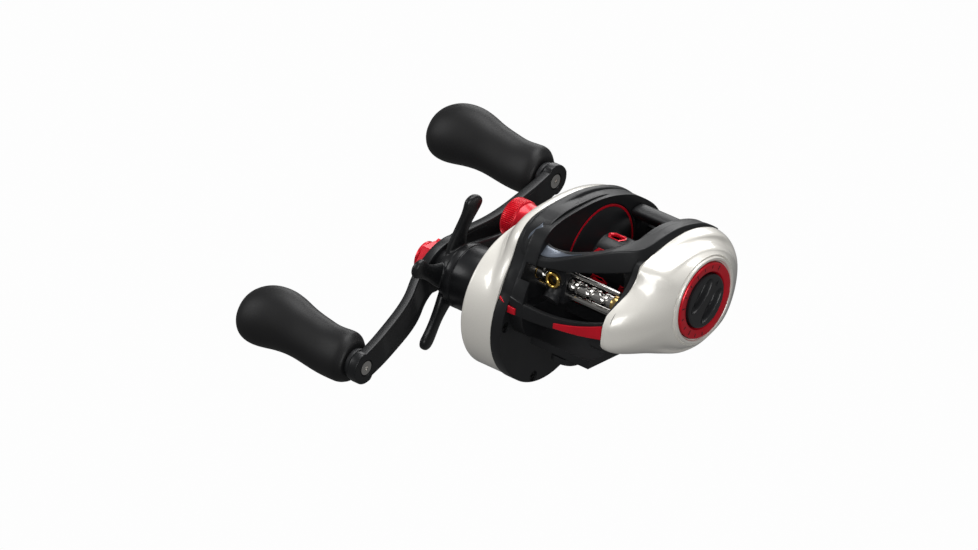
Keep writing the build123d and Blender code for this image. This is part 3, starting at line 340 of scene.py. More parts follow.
def dress(piece: bpy.types.Object, finish: Finish, body: str, slot: str, *nodes: str) -> bpy.types.Object:
    """Give a new piece its finish and body, and hide the CAD nodes that it stands for.

    Args:
        piece: The new piece.
        finish: Its finish.
        body: The CAD body that it rides on.
        slot: The record's material slot; not used.
        nodes: CAD nodes that it replaces.

    Returns:
        The piece.
    """
    piece.data.materials.clear()
    piece.data.materials.append(finish.material())
    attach(piece, body)
    if nodes:
        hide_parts(*nodes)
    LOG.info("%s: %d faces on %s", piece.name, len(piece.data.polygons), body)
    return piece


# ------------------------------------------------------------------ palm side
@dataclass
class PalmSide:
    """Palm cover, brake dial and its coloured ring."""

    rim_r: float = 13.4
    wall: float = 1.4
    cheek_x: tuple[float, float] = (15.45, 17.6)
    dial_r: float = 8.3
    dial_face: float = 28.95
    dial_lean: float = 48.0
    pocket_depth: float = 2.0
    pocket_off: float = 3.55
    pocket_half: tuple[float, float] = (5.9, 2.05)
    tick_count: int = 12
    tick_start: float = 62.0
    tick_step: float = 19.0
    tick_r: float = 11.1
    sides: int = 288
    rows: int = 56

    def outline(self) -> np.ndarray:
        """Smooth edge of the cover where it meets the frame, as (y, z) samples."""
        points = [(-31.2, 12.2), (-31.5, 15.6), (-31.3, 18.3), (-29.9, 21.2), (-25.0, 25.7), (-21.2, 29.6),
                  (-20.2, 32.2), (-19.6, 34.2), (-16, 35.6), (-10.2, 36.7), (-2.1, 38.2), (7.3, 38.2),
                  (12.1, 37.2), (18, 34.9), (23, 31), (26.6, 26), (27.8, 20), (26.6, 11.5), (22.5, 4.4),
                  (13.8, 1.0), (4.5, 0.4), (-5, 1.8), (-12.3, 4.2), (-21.9, 7.0), (-28.6, 9.8)]
        return spline(np.array(points), self.sides, closed=True)

    def flutes(self, angle: np.ndarray, share: np.ndarray) -> np.ndarray:
        """Depth of the flutes and ridges, added to x.

        A ridge under the rail, a concave flute below it and a raised dome edge follow the upper side,
        each a Gaussian of the share from rim (0) to edge (1). A narrow tapering wedge runs back from
        the notch, and a low crease follows the lower edge.

        Args:
            angle: Direction from the spool shaft, degrees from +Y towards +Z.
            share: Place between the rim and the edge.

        Returns:
            Offset along X in millimetres.
        """
        top = smoothstep(10, 38, angle) * (1 - smoothstep(118, 150, angle))
        valley = 0.60 + 0.20 * smoothstep(60, 130, angle)
        offset = top * (-1.5 * bump(share, valley, 0.15) + 0.7 * bump(share, valley + 0.27, 0.10))
        offset += top * 0.7 * bump(share, valley - 0.27, 0.11)
        wedge = smoothstep(0.25, 0.95, share) * bump(angle, 151 - 6 * share, 4.5 + 0 * share)
        offset -= 0.9 * wedge
        low = smoothstep(-150, -120, angle) * (1 - smoothstep(-75, -40, angle))
        offset += low * (0.7 * bump(share, 0.66, 0.12) - 0.8 * bump(share, 0.42, 0.14))
        return offset

    def edge(self, angle: np.ndarray) -> np.ndarray:
        """Station of the cover's edge in each direction: furthest out round the front notch."""
        marks = np.array([(-180, 15.5), (-170, 15.6), (176, 16.2), (166, 17.4), (150, 17.9), (140, 17.6),
                          (128, 17.0), (90, 16.9), (50, 16.2), (30, 15.6), (-40, 15.5)], float)
        order = np.argsort(marks[:, 0])
        return np.interp(angle, marks[order, 0], marks[order, 1], period=360)

    def section(self) -> tuple[np.ndarray, np.ndarray]:
        """Station x and share (1 at the edge, 0 at the rim) along the cover's dome."""
        steps = spline(np.array([(15.5, 1.0), (17.2, 0.985), (19.6, 0.88), (22.6, 0.66), (25.4, 0.34),
                                 (27.2, 0.09), (27.6, 0.03)]), self.rows)
        return steps[:, 0], steps[:, 1]

    def cover(self) -> bpy.types.Object:
        """Shell with dome, grooved rim round the dial, seat and inner wall.

        Each outline sample sends a curve to the rim circle: reach = rim + (outline - rim) * share, with
        x from the section and the flutes. The inner wall repeats the curve one wall inside.
        """
        edge = self.outline() - SPOOL_AXIS
        reach = np.linalg.norm(edge, axis=1)[None, :]
        way = (edge / reach.T)[None]
        angle = np.degrees(np.arctan2(edge[:, 1], edge[:, 0]))[None, :]
        x, share = (v[:, None] for v in self.section())
        outer_r = self.rim_r + 0.5 + (reach - self.rim_r - 0.5) * share
        fade = smoothstep(0.0, 0.25, share) * (1 - smoothstep(0.93, 1.0, share))
        outer_x = x + self.flutes(angle, share) * fade
        rim = np.array([(27.35, 0.35), (27.4, 0.15), (28.1, 0.0), (28.3, -0.18), (28.3, -0.8), (28.1, -1.0),
                        (27.7, -1.05), (27.6, -1.2), (27.6, -1.35), (25.6, -1.4)])
        rim_x, rim_r = rim[:, :1] + 0 * reach, self.rim_r + rim[:, 1:] + 0 * reach
        floor_x, floor_r = np.array([[25.6], [24.4]]) + 0 * reach, np.array([[8.8], [8.8]]) + 0 * reach
        inner_r = (outer_r - self.wall)[::-1][3:]
        inner_x = (outer_x - self.wall)[::-1][3:]
        outer_x = np.maximum(outer_x, self.edge(angle))
        inner_x = np.maximum(inner_x, self.edge(angle))
        xs = np.concatenate([outer_x, rim_x, floor_x, inner_x])
        rs = np.concatenate([outer_r, rim_r, floor_r, inner_r])
        grid = np.stack([xs, SPOOL_AXIS[0] + rs * way[..., 0], SPOOL_AXIS[1] + rs * way[..., 1]], axis=2)
        return grid_mesh("palm_cover_shell", [(grid, True)], 40)

    def cheek(self) -> bpy.types.Object:
        """Black side of the frame between the level wind and the cover's front edge."""
        outline = np.array([(-30.8, 17.6), (-29.7, 21.0), (-24.5, 25.5), (-20.5, 29.8), (-19.4, 32.2),
                            (-18.6, 33.8), (-13.0, 34.4), (-12.0, 18.0), (-20.0, 12.0), (-28.0, 13.6)])
        curve = spline(outline, 160, closed=True)
        grid = np.stack([np.column_stack([np.full(len(curve), x), curve]) for x in self.cheek_x])
        return grid_mesh("frame_cheek", [(closed_rows(grid), False)], 40)

    def dial(self) -> bpy.types.Object:
        """Brake dial: a disc whose face has two long pockets beside a grip bar.

        The face is a polar grid whose depth is a product of smooth steps: inside an ellipse on each
        side of the bar, the face drops by the pocket depth.
        """
        outer = self.dial_r
        edge = [outer - 0.2, outer - 0.05, outer]
        radius = np.concatenate([np.linspace(0, outer - 0.4, 90), edge])[::-1, None]
        angle = np.linspace(0, 2 * np.pi, 300, endpoint=False)[None, :]
        y, z = radius * np.cos(angle), radius * np.sin(angle)
        lean = np.radians(self.dial_lean)
        along, off = y * np.cos(lean) + z * np.sin(lean), -y * np.sin(lean) + z * np.cos(lean)
        face = self.dial_face + 0 * y - 0.25 * smoothstep(outer - 0.5, outer, radius)
        half_long, half_wide = self.pocket_half
        for side in (-1, 1):
            reach = np.hypot(along / half_long, (side * off - self.pocket_off) / half_wide)
            face = face - self.pocket_depth * (1 - smoothstep(0.80, 1.08, reach))
        arrow = (along > 5.6) & (along < 7.3) & (np.abs(off) < 0.75 * (7.3 - along) / 1.7)
        face = np.where(arrow, face - 0.35, face)
        top = np.stack([face, y, z + SPOOL_AXIS[1]], axis=2)
        profile = np.array([(22.4, 0.0), (22.4, 10.6), (24.2, 10.6), (24.2, outer), (28.4, outer)])
        skirt = turned(profile, SPOOL_AXIS, angle.size)
        return grid_mesh("brake_dial_knob", [(np.concatenate([skirt, top]), False)], 30)

    def ring(self) -> bpy.types.Object:
        """Coloured ring with a coned face and a fine step at its inner edge."""
        profile = np.array([(25.6, 11.8), (28.25, 11.8), (28.5, 11.65), (28.55, 11.4), (28.42, 9.3),
                            (28.3, 9.05), (28.0, 8.95), (27.7, 8.62), (25.6, 8.62)])
        return grid_mesh("dial_ring_face", [(turned(profile, SPOOL_AXIS, 180), True)], 30)

    def ticks(self) -> bpy.types.Object:
        """Scale marks let into the ring's face: thin wedges at even steps round the upper front."""
        grids = []
        for step in range(self.tick_count):
            turn = np.radians(self.tick_start + step * self.tick_step)
            out, side = np.array([np.cos(turn), np.sin(turn)]), np.array([-np.sin(turn), np.cos(turn)])
            length = 1.5 if step % 3 == 0 else 1.0
            corners = []
            for r, half in ((self.tick_r, 0.20), (self.tick_r - length, 0.05)):
                for sign in (-1, 1):
                    corners.append(out * r + side * half * sign)
            a, b, c, d = corners
            ring = np.array([a, b, d, c]) + SPOOL_AXIS
            grid = np.stack([np.column_stack([np.full(4, x), ring]) for x in (28.3, 28.575)])
            grids.append((closed_rows(grid), False))
        return grid_mesh("dial_ticks", grids)

    def build(self) -> None:
        """Make and dress the palm side."""
        dress(self.cover(), PEARL, "reel_body", "pearl_white", "palm_cover")
        dress(self.dial(), DIAL_BLACK, "brake_dial", "black_gloss", "brake_dial")
        dress(self.ring(), RED, "reel_body", "red_anodised", "dial_ring")
        dress(self.ticks(), TICK_BLACK, "reel_body", "black_nylon")
        dress(self.cheek(), GRAPHITE, "reel_body", "frame_graphite")


# ------------------------------------------------------------------ gear side
@dataclass
class GearSide:
    """Cover over the gears: a drum round the crank shaft that blends into the body's side."""

    drum_r: float = 22.0
    blend: float = 2.2
    wall: float = 1.4
    centre: tuple[float, float] = (-8.0, 15.0)
    sides: int = 320

    def polar(self, points: list[tuple[float, float]], angle: np.ndarray) -> np.ndarray:
        """Reach of a smooth closed outline from the cover's centre in each direction."""
        curve = spline(np.array(points), 1200, closed=True) - self.centre
        turn = np.arctan2(curve[:, 1], curve[:, 0])
        order = np.argsort(turn)
        return np.interp(angle, turn[order], np.linalg.norm(curve[order], axis=1), period=2 * np.pi)

    def drum(self, angle: np.ndarray, radius: float) -> np.ndarray:
        """Reach of the drum circle: the positive root of |centre + t way - crank axis| = radius."""
        off = np.array(self.centre) - CRANK_AXIS
        along = off[0] * np.cos(angle) + off[1] * np.sin(angle)
        return -along + np.sqrt(along ** 2 - off @ off + radius ** 2)

    def cover(self) -> bpy.types.Object:
        """Shell whose outline at each station is the smooth maximum of the drum and the body outline.

        The smooth maximum of a and b is (a + b + sqrt((a - b)^2 + k^2)) / 2 with k as the blend.
        """
        blob = [(-24, 20), (-21, 25.5), (-15, 28.6), (-9.5, 30.2), (-5.4, 31.0), (0, 32.4), (6, 32.6),
                (12.5, 31.4), (17, 28.0), (18.6, 21), (16, 13), (9, 5), (0, -1), (-8, -4), (-16, -5),
                (-22, 0), (-25, 7), (-25, 14)]
        base = [(-34.9, 19.2), (-31.4, 27.4), (-28.4, 34.3), (-21.9, 38.6), (-14.6, 39.8), (-7.3, 40.3),
                (1, 40),
                (7.8, 38.7), (14.7, 36.4), (22.2, 32.2), (28.6, 25), (29.6, 16), (25, 6), (14, 1.4), (0, 0),
                (-12, -2), (-24, 1), (-32.4, 5.6), (-35.2, 12.4)]
        angle = np.linspace(-np.pi, np.pi, self.sides, endpoint=False)
        outer, inner = self.polar(blob, angle), self.polar(base, angle)
        stations = spline(np.array([(-19.4, 1.0), (-20.6, 0.985), (-22.6, 0.90), (-25.4, 0.62), (-28.0, 0.28),
                                    (-29.6, 0.08), (-30.4, 0.0)]), 44)
        x, share = stations[:, :1], stations[:, 1:]
        body = outer + (inner - outer) * share
        drum = self.drum(angle, self.drum_r)
        wall = (body + drum + np.sqrt((body - drum) ** 2 + self.blend ** 2)) / 2 - 0.35
        turn = np.linspace(0, np.pi / 2, 9)[1:, None]
        edge_r = wall[-1:] - 1.5 * (1 - np.cos(turn))
        edge_x = -30.4 - 1.0 * np.sin(turn)
        inward = np.array([0.93, 0.90, 0.88, 0.80, 0.6, 0.3, 0.0])[:, None]
        face_x = np.array([-31.4, -31.35, -31.15, -31.1, -31.1, -31.1, -31.1])[:, None]
        rs = np.concatenate([wall, edge_r, edge_r[-1:] * inward])
        xs = np.concatenate([x, edge_x, face_x]) + 0 * angle[None]
        inner_rs = np.concatenate([0 * wall[:1], 0.5 * wall[:1], wall[:1] - self.wall])
        inner_xs = np.array([[-19.8], [-19.8], [-19.4]]) + 0 * angle[None]
        rs, xs = np.concatenate([inner_rs, rs]), np.concatenate([inner_xs, xs])
        ways = np.stack([np.cos(angle), np.sin(angle)])
        grid = np.stack([xs, self.centre[0] + rs * ways[0], self.centre[1] + rs * ways[1]], axis=2)
        return grid_mesh("gear_cover_shell", [(grid, False)], 38)

    def build(self) -> None:
        """Make and dress the gear side."""
        dress(self.cover(), PEARL, "reel_body", "pearl_white", "gear_cover")


# ------------------------------------------------------------------ hood
@dataclass
class Hood:
    """One black ring round the spool's opening: left arch, front bridge and right rail."""

    samples: int = 260
    corner: float = 0.7
    groove: float = 0.9
    inlay_rows: tuple[int, int] = (102, 152)
    inlay_raise: float = 0.28
    inlay_depth: float = 0.5

    def guides(self) -> np.ndarray:
        """Guide curves as (station, corner, 3): outer lower, outer upper, inner upper, inner lower."""
        rows = [
            ((-18.6, 26.0, 28.6), (-18.2, 26.2, 29.6), (-12.2, 18.5, 30.2), (-13.2, 18.0, 28.6)),
            ((-18.8, 20.9, 32.4), (-18.3, 21.1, 33.5), (-12.0, 14.6, 33.4), (-13.2, 14.0, 31.4)),
            ((-18.9, 14.7, 35.8), (-18.3, 14.8, 37.0), (-12.0, 11.0, 36.2), (-13.2, 10.6, 33.8)),
            ((-18.9, 7.8, 38.1), (-18.3, 7.8, 39.3), (-12.0, 6.8, 38.4), (-13.2, 6.4, 35.8)),
            ((-18.9, 1.0, 39.4), (-18.3, 1.0, 40.6), (-12.0, 1.4, 40.2), (-13.2, 1.2, 37.6)),
            ((-18.9, -7.3, 39.7), (-18.3, -7.3, 40.9), (-12.0, -6.0, 40.8), (-13.2, -6.0, 38.0)),
            ((-18.9, -14.6, 39.1), (-18.3, -14.6, 40.3), (-12.0, -12.4, 40.7), (-13.2, -12.2, 38.0)),
            ((-18.9, -21.9, 37.9), (-18.3, -21.8, 39.1), (-12.0, -18.4, 40.1), (-13.2, -18.2, 37.2)),
            ((-18.9, -26.6, 34.9), (-18.2, -26.6, 36.6), (-12.0, -22.4, 38.9), (-13.0, -21.9, 35.6)),
            ((-19.0, -29.5, 30.2), (-17.9, -29.0, 33.4), (-12.0, -24.6, 36.9), (-12.9, -23.4, 33.0)),
            ((-17.6, -30.4, 27.5), (-16.2, -30.0, 30.7), (-11.6, -25.6, 34.6), (-12.0, -24.0, 30.8)),
            ((-14.0, -30.6, 27.4), (-13.4, -30.1, 29.9), (-9.8, -25.6, 33.3), (-10.0, -24.0, 29.9)),
            ((-10.0, -30.5, 27.5), (-9.6, -29.9, 29.9), (-7.2, -25.1, 32.9), (-7.2, -23.6, 29.8)),
            ((-6.0, -29.9, 28.0), (-5.8, -29.2, 30.9), (-4.4, -24.3, 33.0), (-4.4, -22.9, 30.0)),
            ((-2.0, -28.7, 28.3), (-2.0, -28.0, 32.5), (-1.2, -23.4, 33.6), (-1.2, -22.0, 30.4)),
            ((2.0, -27.1, 28.9), (2.0, -26.4, 34.2), (2.2, -21.9, 34.5), (2.2, -20.4, 31.2)),
            ((6.0, -25.0, 29.6), (6.0, -24.3, 35.8), (5.6, -19.7, 35.8), (5.6, -18.4, 32.4)),
            ((9.0, -23.1, 30.1), (9.0, -22.3, 37.0), (8.4, -17.0, 37.2), (8.8, -16.0, 33.6)),
            ((12.2, -20.7, 30.6), (12.1, -19.7, 37.7), (10.6, -13.5, 38.4), (11.6, -13.0, 34.6)),
            ((15.4, -18.0, 31.6), (14.9, -16.6, 38.0), (11.8, -9.2, 39.2), (13.2, -9.6, 36.0)),
            ((17.2, -14.0, 35.4), (16.0, -12.3, 38.7), (12.3, -4.4, 39.9), (13.6, -5.2, 37.4)),
            ((17.1, -6.5, 37.2), (16.0, -5.6, 39.7), (12.4, 1.4, 39.9), (13.8, 1.0, 37.6)),
            ((17.0, 1.0, 38.0), (16.0, 1.4, 40.1), (12.6, 7.0, 39.2), (13.9, 6.6, 37.4)),
            ((17.0, 8.0, 37.7), (16.0, 8.2, 39.2), (13.4, 12.2, 37.9), (14.2, 11.8, 36.6)),
            ((17.0, 14.0, 36.3), (16.1, 14.2, 37.4), (14.6, 16.4, 36.2), (15.0, 16.0, 35.4)),
            ((16.9, 19.0, 34.2), (16.5, 19.1, 34.6), (16.2, 19.3, 34.4), (16.4, 19.2, 34.0))]
        table = np.array(rows)
        smooth = spline(table.reshape(len(rows), -1), self.samples)
        return smooth.reshape(self.samples, 4, 3)

    def ring(self) -> bpy.types.Object:
        """Loft along the guide curves, with a shallow groove between the outer and inner top edges.

        Each section is the polygon of the four guides, with two more points sunk into the top on the
        left arch; the groove's depth fades out on the front bridge.
        """
        guide = self.guides()
        a, b, c, d = (guide[:, k] for k in range(4))
        along = np.linspace(0, 1, self.samples)[:, None]
        arch = 1 - smoothstep(0.22, 0.32, along)
        sink = np.array([[0.0, 0.0, -self.groove]]) * arch
        lip = b + (c - b) * 0.30
        step = b + (c - b) * 0.38 + sink
        rise = b + (c - b) * 0.74 + sink
        ledge = b + (c - b) * 0.82
        section = np.stack([a, b, lip, step, rise, ledge, c, d], axis=1)
        grid = rounded(section, self.corner, 5)
        return grid_mesh("hood_ring", [(closed_rows(grid), False)], 45)

    def insert(self) -> bpy.types.Object:
        """Grey inlay on the bridge's top near the gear side, a thin plate that follows the surface.

        A point at (s, t) lies between the outer upper and inner upper guides, raised a little along the
        face's normal; the inlay's width narrows to a point at both ends.
        """
        guide = self.guides()
        first, last = self.inlay_rows
        b, c = guide[first:last, 1], guide[first:last, 2]
        along = np.linspace(0, 1, last - first)[:, None]
        low = 0.20 + 0.10 * (1 - smoothstep(0.0, 0.2, along)) + 0.10 * along
        high = 0.86 - 0.30 * smoothstep(0.35, 1.0, along) ** 2
        width = smoothstep(0, 0.22, along) * (1 - smoothstep(0.62, 1.0, along))
        middle = (low + high) / 2
        t = np.linspace(-1, 1, 13)[None, :, None]
        share = middle[:, None] + t * ((high - low) / 2 * width)[:, None]
        top = b[:, None] + (c - b)[:, None] * share
        normal = np.cross(np.gradient((b + c) / 2, axis=0), c - b)
        normal = (normal * np.sign(normal[:, 2:]) / np.linalg.norm(normal, axis=1, keepdims=True))[:, None]
        upper = top + normal * (self.inlay_raise - 0.12 * np.abs(t) ** 4)
        lower = top - normal * self.inlay_depth
        section = np.concatenate([upper, lower[:, ::-1]], axis=1)
        return grid_mesh("hood_inlay", [(closed_rows(section), False)], 40)

    def build(self) -> None:
        """Make and dress the hood."""
        dress(self.ring(), GRAPHITE, "reel_body", "frame_graphite", "hood")
        dress(self.insert(), GREY, "reel_body", "grey_inlay", "hood_insert")


# ------------------------------------------------------------------ front bar
@dataclass
class FrontBar:
    """Coloured strips let into the bar under the line guide."""

    proud: float = 0.3
    depth: float = 0.6

    def strip(self, marks: list[tuple[float, float, float, float]]) -> np.ndarray:
        """Closed grid of one strip.

        Args:
            marks: Stations (x, y of the bar's front, lower z, upper z).

        Returns:
            Grid of rounded rectangular sections along the strip.
        """
        x, y, low, high = spline(np.array(marks), 40).T
        ring = [(y - self.proud, low), (y - self.proud, high), (y + self.depth, high), (y + self.depth, low)]
        section = np.stack([np.column_stack([x, side, level]) for side, level in ring], axis=1)
        return closed_rows(rounded(section, 0.2, 4))

    def build(self) -> None:
        """Make and dress both strips."""
        left = self.strip([(-18.9, -35.5, 13.7, 16.5), (-16.4, -35.75, 12.7, 15.1),
                           (-13.0, -35.4, 12.5, 14.5)])
        right = self.strip([(0.0, -33.8, 12.7, 14.4), (7.5, -32.7, 13.1, 15.9), (15.3, -31.2, 14.1, 18.4)])
        strips = grid_mesh("bar_strips", [(left, False), (right, False)], 40)
        dress(strips, RED, "reel_body", "red_anodised", "accent_strips")


# ------------------------------------------------------------------ handle
@dataclass
class Handle:
    """Crank arm, knobs and drag star."""

    span: float = 90.0
    angle: float = 23.0
    level: float = 55.4
    end_level: float = 48.5
    thick: float = 3.4
    hub_half: float = 7.0
    end_r: float = 5.2
    knob_in: float = 53.6
    knob_turn: float = 58.0
    dish_r: float = 2.6
    dish_depth: float = 0.5
    star_arms: int = 5
    star_turn: float = 88.0
    star_level: float = 50.4
    star_voxel: float = 0.26

    def placed(self, u: np.ndarray, w: np.ndarray, h: np.ndarray, turn: float,
               at: tuple[float, float]) -> np.ndarray:
        """Points from handle coordinates: u along, w across, h out along -X."""
        c, s = np.cos(np.radians(turn)), np.sin(np.radians(turn))
        return np.stack([-h, at[0] + u * c - w * s, at[1] + u * s + w * c], axis=-1)

    def inner_level(self, u: np.ndarray) -> np.ndarray:
        """Level of the arm's inner face: flat at the hub, a smooth bend to the reel, flat at the end."""
        marks = np.array([(0, 0.0), (7, 0.0), (12, 0.17), (18, 0.53), (24, 0.76), (32, 0.91), (38, 0.985),
                          (43, 1.0), (52, 1.0)])
        curve = spline(marks * (1, 20), 400)
        share = np.interp(np.abs(u), curve[:, 0], curve[:, 1] / 20)
        return self.level + (self.end_level - self.level) * np.clip(share, 0, 1)

    def arm(self) -> bpy.types.Object:
        """Arm lofted along its length, with a long recess between lips on the inner face.

        Half width is the larger of a straight taper and the round ends and hub; each section is a
        rounded box whose inner side is sunk between its lips by the recess depth.
        """
        reach = self.span / 2
        end = reach + self.end_r
        turn = np.linspace(-np.pi / 2, np.pi / 2, 361)
        u = end * np.sin(turn)
        away = np.abs(u)
        taper = 5.5 - 1.1 * away / reach
        tip = np.sqrt(np.clip(self.end_r ** 2 - np.clip(away - reach, 0, None) ** 2, 0, None))
        half = np.where(away > reach, tip, np.maximum(taper, self.end_r * smoothstep(reach - 6, reach, away)))
        half = np.maximum(half, self.hub_half * np.sqrt(np.clip(1 - (u / (self.hub_half * 1.6)) ** 2, 0, 1)))
        low = self.inner_level(u)
        high = low + self.thick
        recess = 0.45 * smoothstep(8.0, 11.0, away) * (1 - smoothstep(reach - 12, reach - 8, away))
        lip = np.clip(half - 1.1, 0, None)
        inner = np.clip(half - 1.5, 0, None)
        top = half - 0.9 * (half > 1)
        ring = [(half, low), (half, high - 0.5), (top, high), (-top, high), (-half, high - 0.5), (-half, low),
                (-lip, low), (-inner, low + recess), (inner, low + recess), (lip, low)]
        section = np.stack([self.placed(u, w + 0 * u, h, self.angle, CRANK_AXIS) for w, h in ring], axis=1)
        grid = rounded(section, 0.5, 4)
        piece = grid_mesh("handle_arm_blade", [(closed_rows(grid), False)], 40)
        for side in (-1, 1):
            at = self.knob_axis(side)
            face, floor = -self.end_level, -self.end_level - self.dish_depth
            profile = np.array([(face + 1, 0.0), (face + 1, self.dish_r + 0.3), (face - 0.12, self.dish_r),
                                (floor, self.dish_r - 0.15), (floor, 0.0)])
            dish = grid_mesh("dish", [(turned(profile, at, 64), False)])
            cut = piece.modifiers.new("dish", "BOOLEAN")
            cut.operation = "DIFFERENCE"
            cut.object = dish
            piece = applied(piece, 40)
            bpy.data.objects.remove(dish)
        return piece

    def knob_axis(self, side: int) -> tuple[float, float]:
        """Place of a knob's shaft, as y and z."""
        reach, turn = side * self.span / 2, np.radians(self.angle)
        return CRANK_AXIS[0] + reach * np.cos(turn), CRANK_AXIS[1] + reach * np.sin(turn)

    def knob(self, name: str, side: int) -> bpy.types.Object:
        """Paddle grip: superellipse sections along the knob shaft.

        A section at distance s is (w cos^p a, t sin^p a) with p a little under 1, so its sides are a
        little flatter than an ellipse. The grip has a shoulder at the arm, a waist and a bulb that is
        shifted to one side along its wide direction.
        """
        marks = np.array([(0.6, 6.4, 5.7, 0.1), (2.6, 7.7, 6.2, 0.5), (5, 7.9, 6.1, 0.5),
                          (9.5, 7.75, 5.8, 0.4), (14.5, 7.8, 5.9, 0.9), (21, 8.1, 6.3, 1.8),
                          (25, 8.7, 6.8, 2.3), (29, 9.3, 7.2, 2.4), (33, 9.6, 7.4, 2.0),
                          (36.8, 9.2, 7.1, 1.4), (40.0, 7.8, 6.2, 0.9), (42.4, 5.4, 4.4, 0.7),
                          (43.6, 3.0, 2.5, 0.6), (44.0, 0.0, 0.0, 0.6)])
        body = spline(marks, 140)
        collar = np.array([(0.0, 4.6, 4.4, 0.0), (0.0, 5.4, 5.1, 0.0), (0.15, 6.0, 5.4, 0.05)])
        body = np.concatenate([collar, body])
        turn = np.linspace(0, 2 * np.pi, 128, endpoint=False)[None, :]
        shape = 0.90
        wide = np.abs(np.cos(turn)) ** shape * np.sign(np.cos(turn)) * np.clip(body[:, 1:2], 0, None)
        thick = np.abs(np.sin(turn)) ** shape * np.sign(np.sin(turn)) * np.clip(body[:, 2:3], 0, None)
        out = self.knob_in + body[:, :1] + 0 * turn
        grid = self.placed(wide + body[:, 3:4], thick, out, self.knob_turn, self.knob_axis(side))
        return grid_mesh(name, [(closed_rows(grid), False)], 50)

    def star(self) -> bpy.types.Object:
        """Five spoon-shaped arms that grow out of a hub, joined by a fine remesh and smoothed."""
        hub = turned(np.array([(-52.4, 0.0), (-52.4, 7.4), (-51.8, 8.2), (-50.2, 8.9), (-48.6, 9.2),
                               (-47.9, 8.6), (-47.9, 0.0)]), CRANK_AXIS, 72)
        grids = [(hub, False)]
        line = spline(np.array([(3.0, 1.2, 0.3), (8.0, 1.4, 0.5), (12.0, 1.2, 0.1), (16.0, 0.6, -0.7),
                                (20.0, -0.2, -1.7), (23.0, -0.7, -2.2), (25.6, -0.9, -2.3)]), 80)
        size = spline(np.array([(0, 4.8, 1.7, 0), (6, 3.8, 1.6, 2), (11, 2.8, 1.5, 5), (16, 2.5, 1.45, 8),
                                (20, 2.8, 1.5, 10), (23, 3.1, 1.5, 12), (25.6, 3.0, 1.4, 12)]), 80)
        left = np.clip((line[-1:, 0] - line[:, 0]) / 2.6, 0, 1)[:, None]
        close = np.sqrt(1 - (1 - left) ** 2)
        turn = np.linspace(0, 2 * np.pi, 48, endpoint=False)[None, :]
        flat = np.abs(np.sin(turn)) ** 0.7 * np.sign(np.sin(turn))
        wide, deep = size[:, 1:2] * close * np.cos(turn), size[:, 2:3] * (0.45 + 0.55 * close) * flat
        lean = np.radians(size[:, 3:4])
        across = wide * np.cos(lean) - deep * np.sin(lean)
        out = wide * np.sin(lean) + deep * np.cos(lean)
        for arm in range(self.star_arms):
            turn = self.star_turn + arm * 360 / self.star_arms
            grid = self.placed(line[:, :1] + 0 * across, line[:, 1:2] + across,
                               self.star_level + line[:, 2:3] + out, turn, CRANK_AXIS)
            grids.append((closed_rows(grid), False))
        piece = grid_mesh("star_wheel", grids)
        blend = piece.modifiers.new("blend", "REMESH")
        blend.mode = "VOXEL"
        blend.voxel_size = self.star_voxel * MM
        soften = piece.modifiers.new("soften", "SMOOTH")
        soften.factor = 0.6
        soften.iterations = 5
        return applied(piece, 60)

    def build(self) -> None:
        """Make and dress the handle."""
        dress(self.arm(), BLACK_ANODISED, "crank", "black_anodised", "handle_arm")
        dress(self.knob("knob_grip_front", -1), FOAM, "front_knob", "knob_foam", "knob_front")
        dress(self.knob("knob_grip_rear", 1), FOAM, "rear_knob", "knob_foam", "knob_rear")
        dress(self.star(), BLACK_ANODISED, "star", "black_anodised", "star_drag")


# ------------------------------------------------------------------ spool side details
@dataclass
class TensionKnob:
    """Cast-control cap: a straight knurl between two chamfers and a smooth neck."""

    ribs: int = 64
    rib_depth: float = 0.34

    def cap(self) -> bpy.types.Object:
        """Grid round the spool shaft: radius is the profile's, less the knurl's rounded grooves."""
        profile = np.array([(-31.6, 4.8), (-31.6, 5.5), (-31.8, 5.7), (-36.0, 5.75), (-39.2, 5.85),
                            (-39.5, 6.0), (-39.7, 6.25), (-39.9, 6.4), (-40.4, 6.45), (-42.0, 6.45),
                            (-43.4, 6.45), (-43.8, 6.35), (-44.1, 6.1), (-44.35, 5.7), (-44.4, 5.3),
                            (-44.2, 4.9), (-44.0, 4.6), (-44.0, 3.0), (-44.1, 1.2), (-44.1, 0.0)])
        angle = np.linspace(0, 2 * np.pi, self.ribs * 10, endpoint=False)[None, :]
        x, r = profile[:, :1], profile[:, 1:]
        band = ((x < -39.8) & (x > -44.2)) * 1.0
        groove = 0.5 + 0.5 * np.cos(self.ribs * angle)
        r = r - self.rib_depth * band * groove ** 3
        grid = np.stack([x + 0 * angle, r * np.cos(angle), SPOOL_AXIS[1] + r * np.sin(angle)], axis=2)
        inner = np.array([(-41.4, 0.0), (-41.4, 4.7), (-31.6, 4.75)])
        bore = np.stack([inner[:, :1] + 0 * angle, inner[:, 1:] * np.cos(angle),
                         SPOOL_AXIS[1] + inner[:, 1:] * np.sin(angle)], axis=2)
        return grid_mesh("tension_cap", [(np.concatenate([bore, grid]), False)], 30)

    def build(self) -> None:
        """Make and dress the knob."""
        dress(self.cap(), RED, "tension_knob", "red_anodised", "tension_knob")


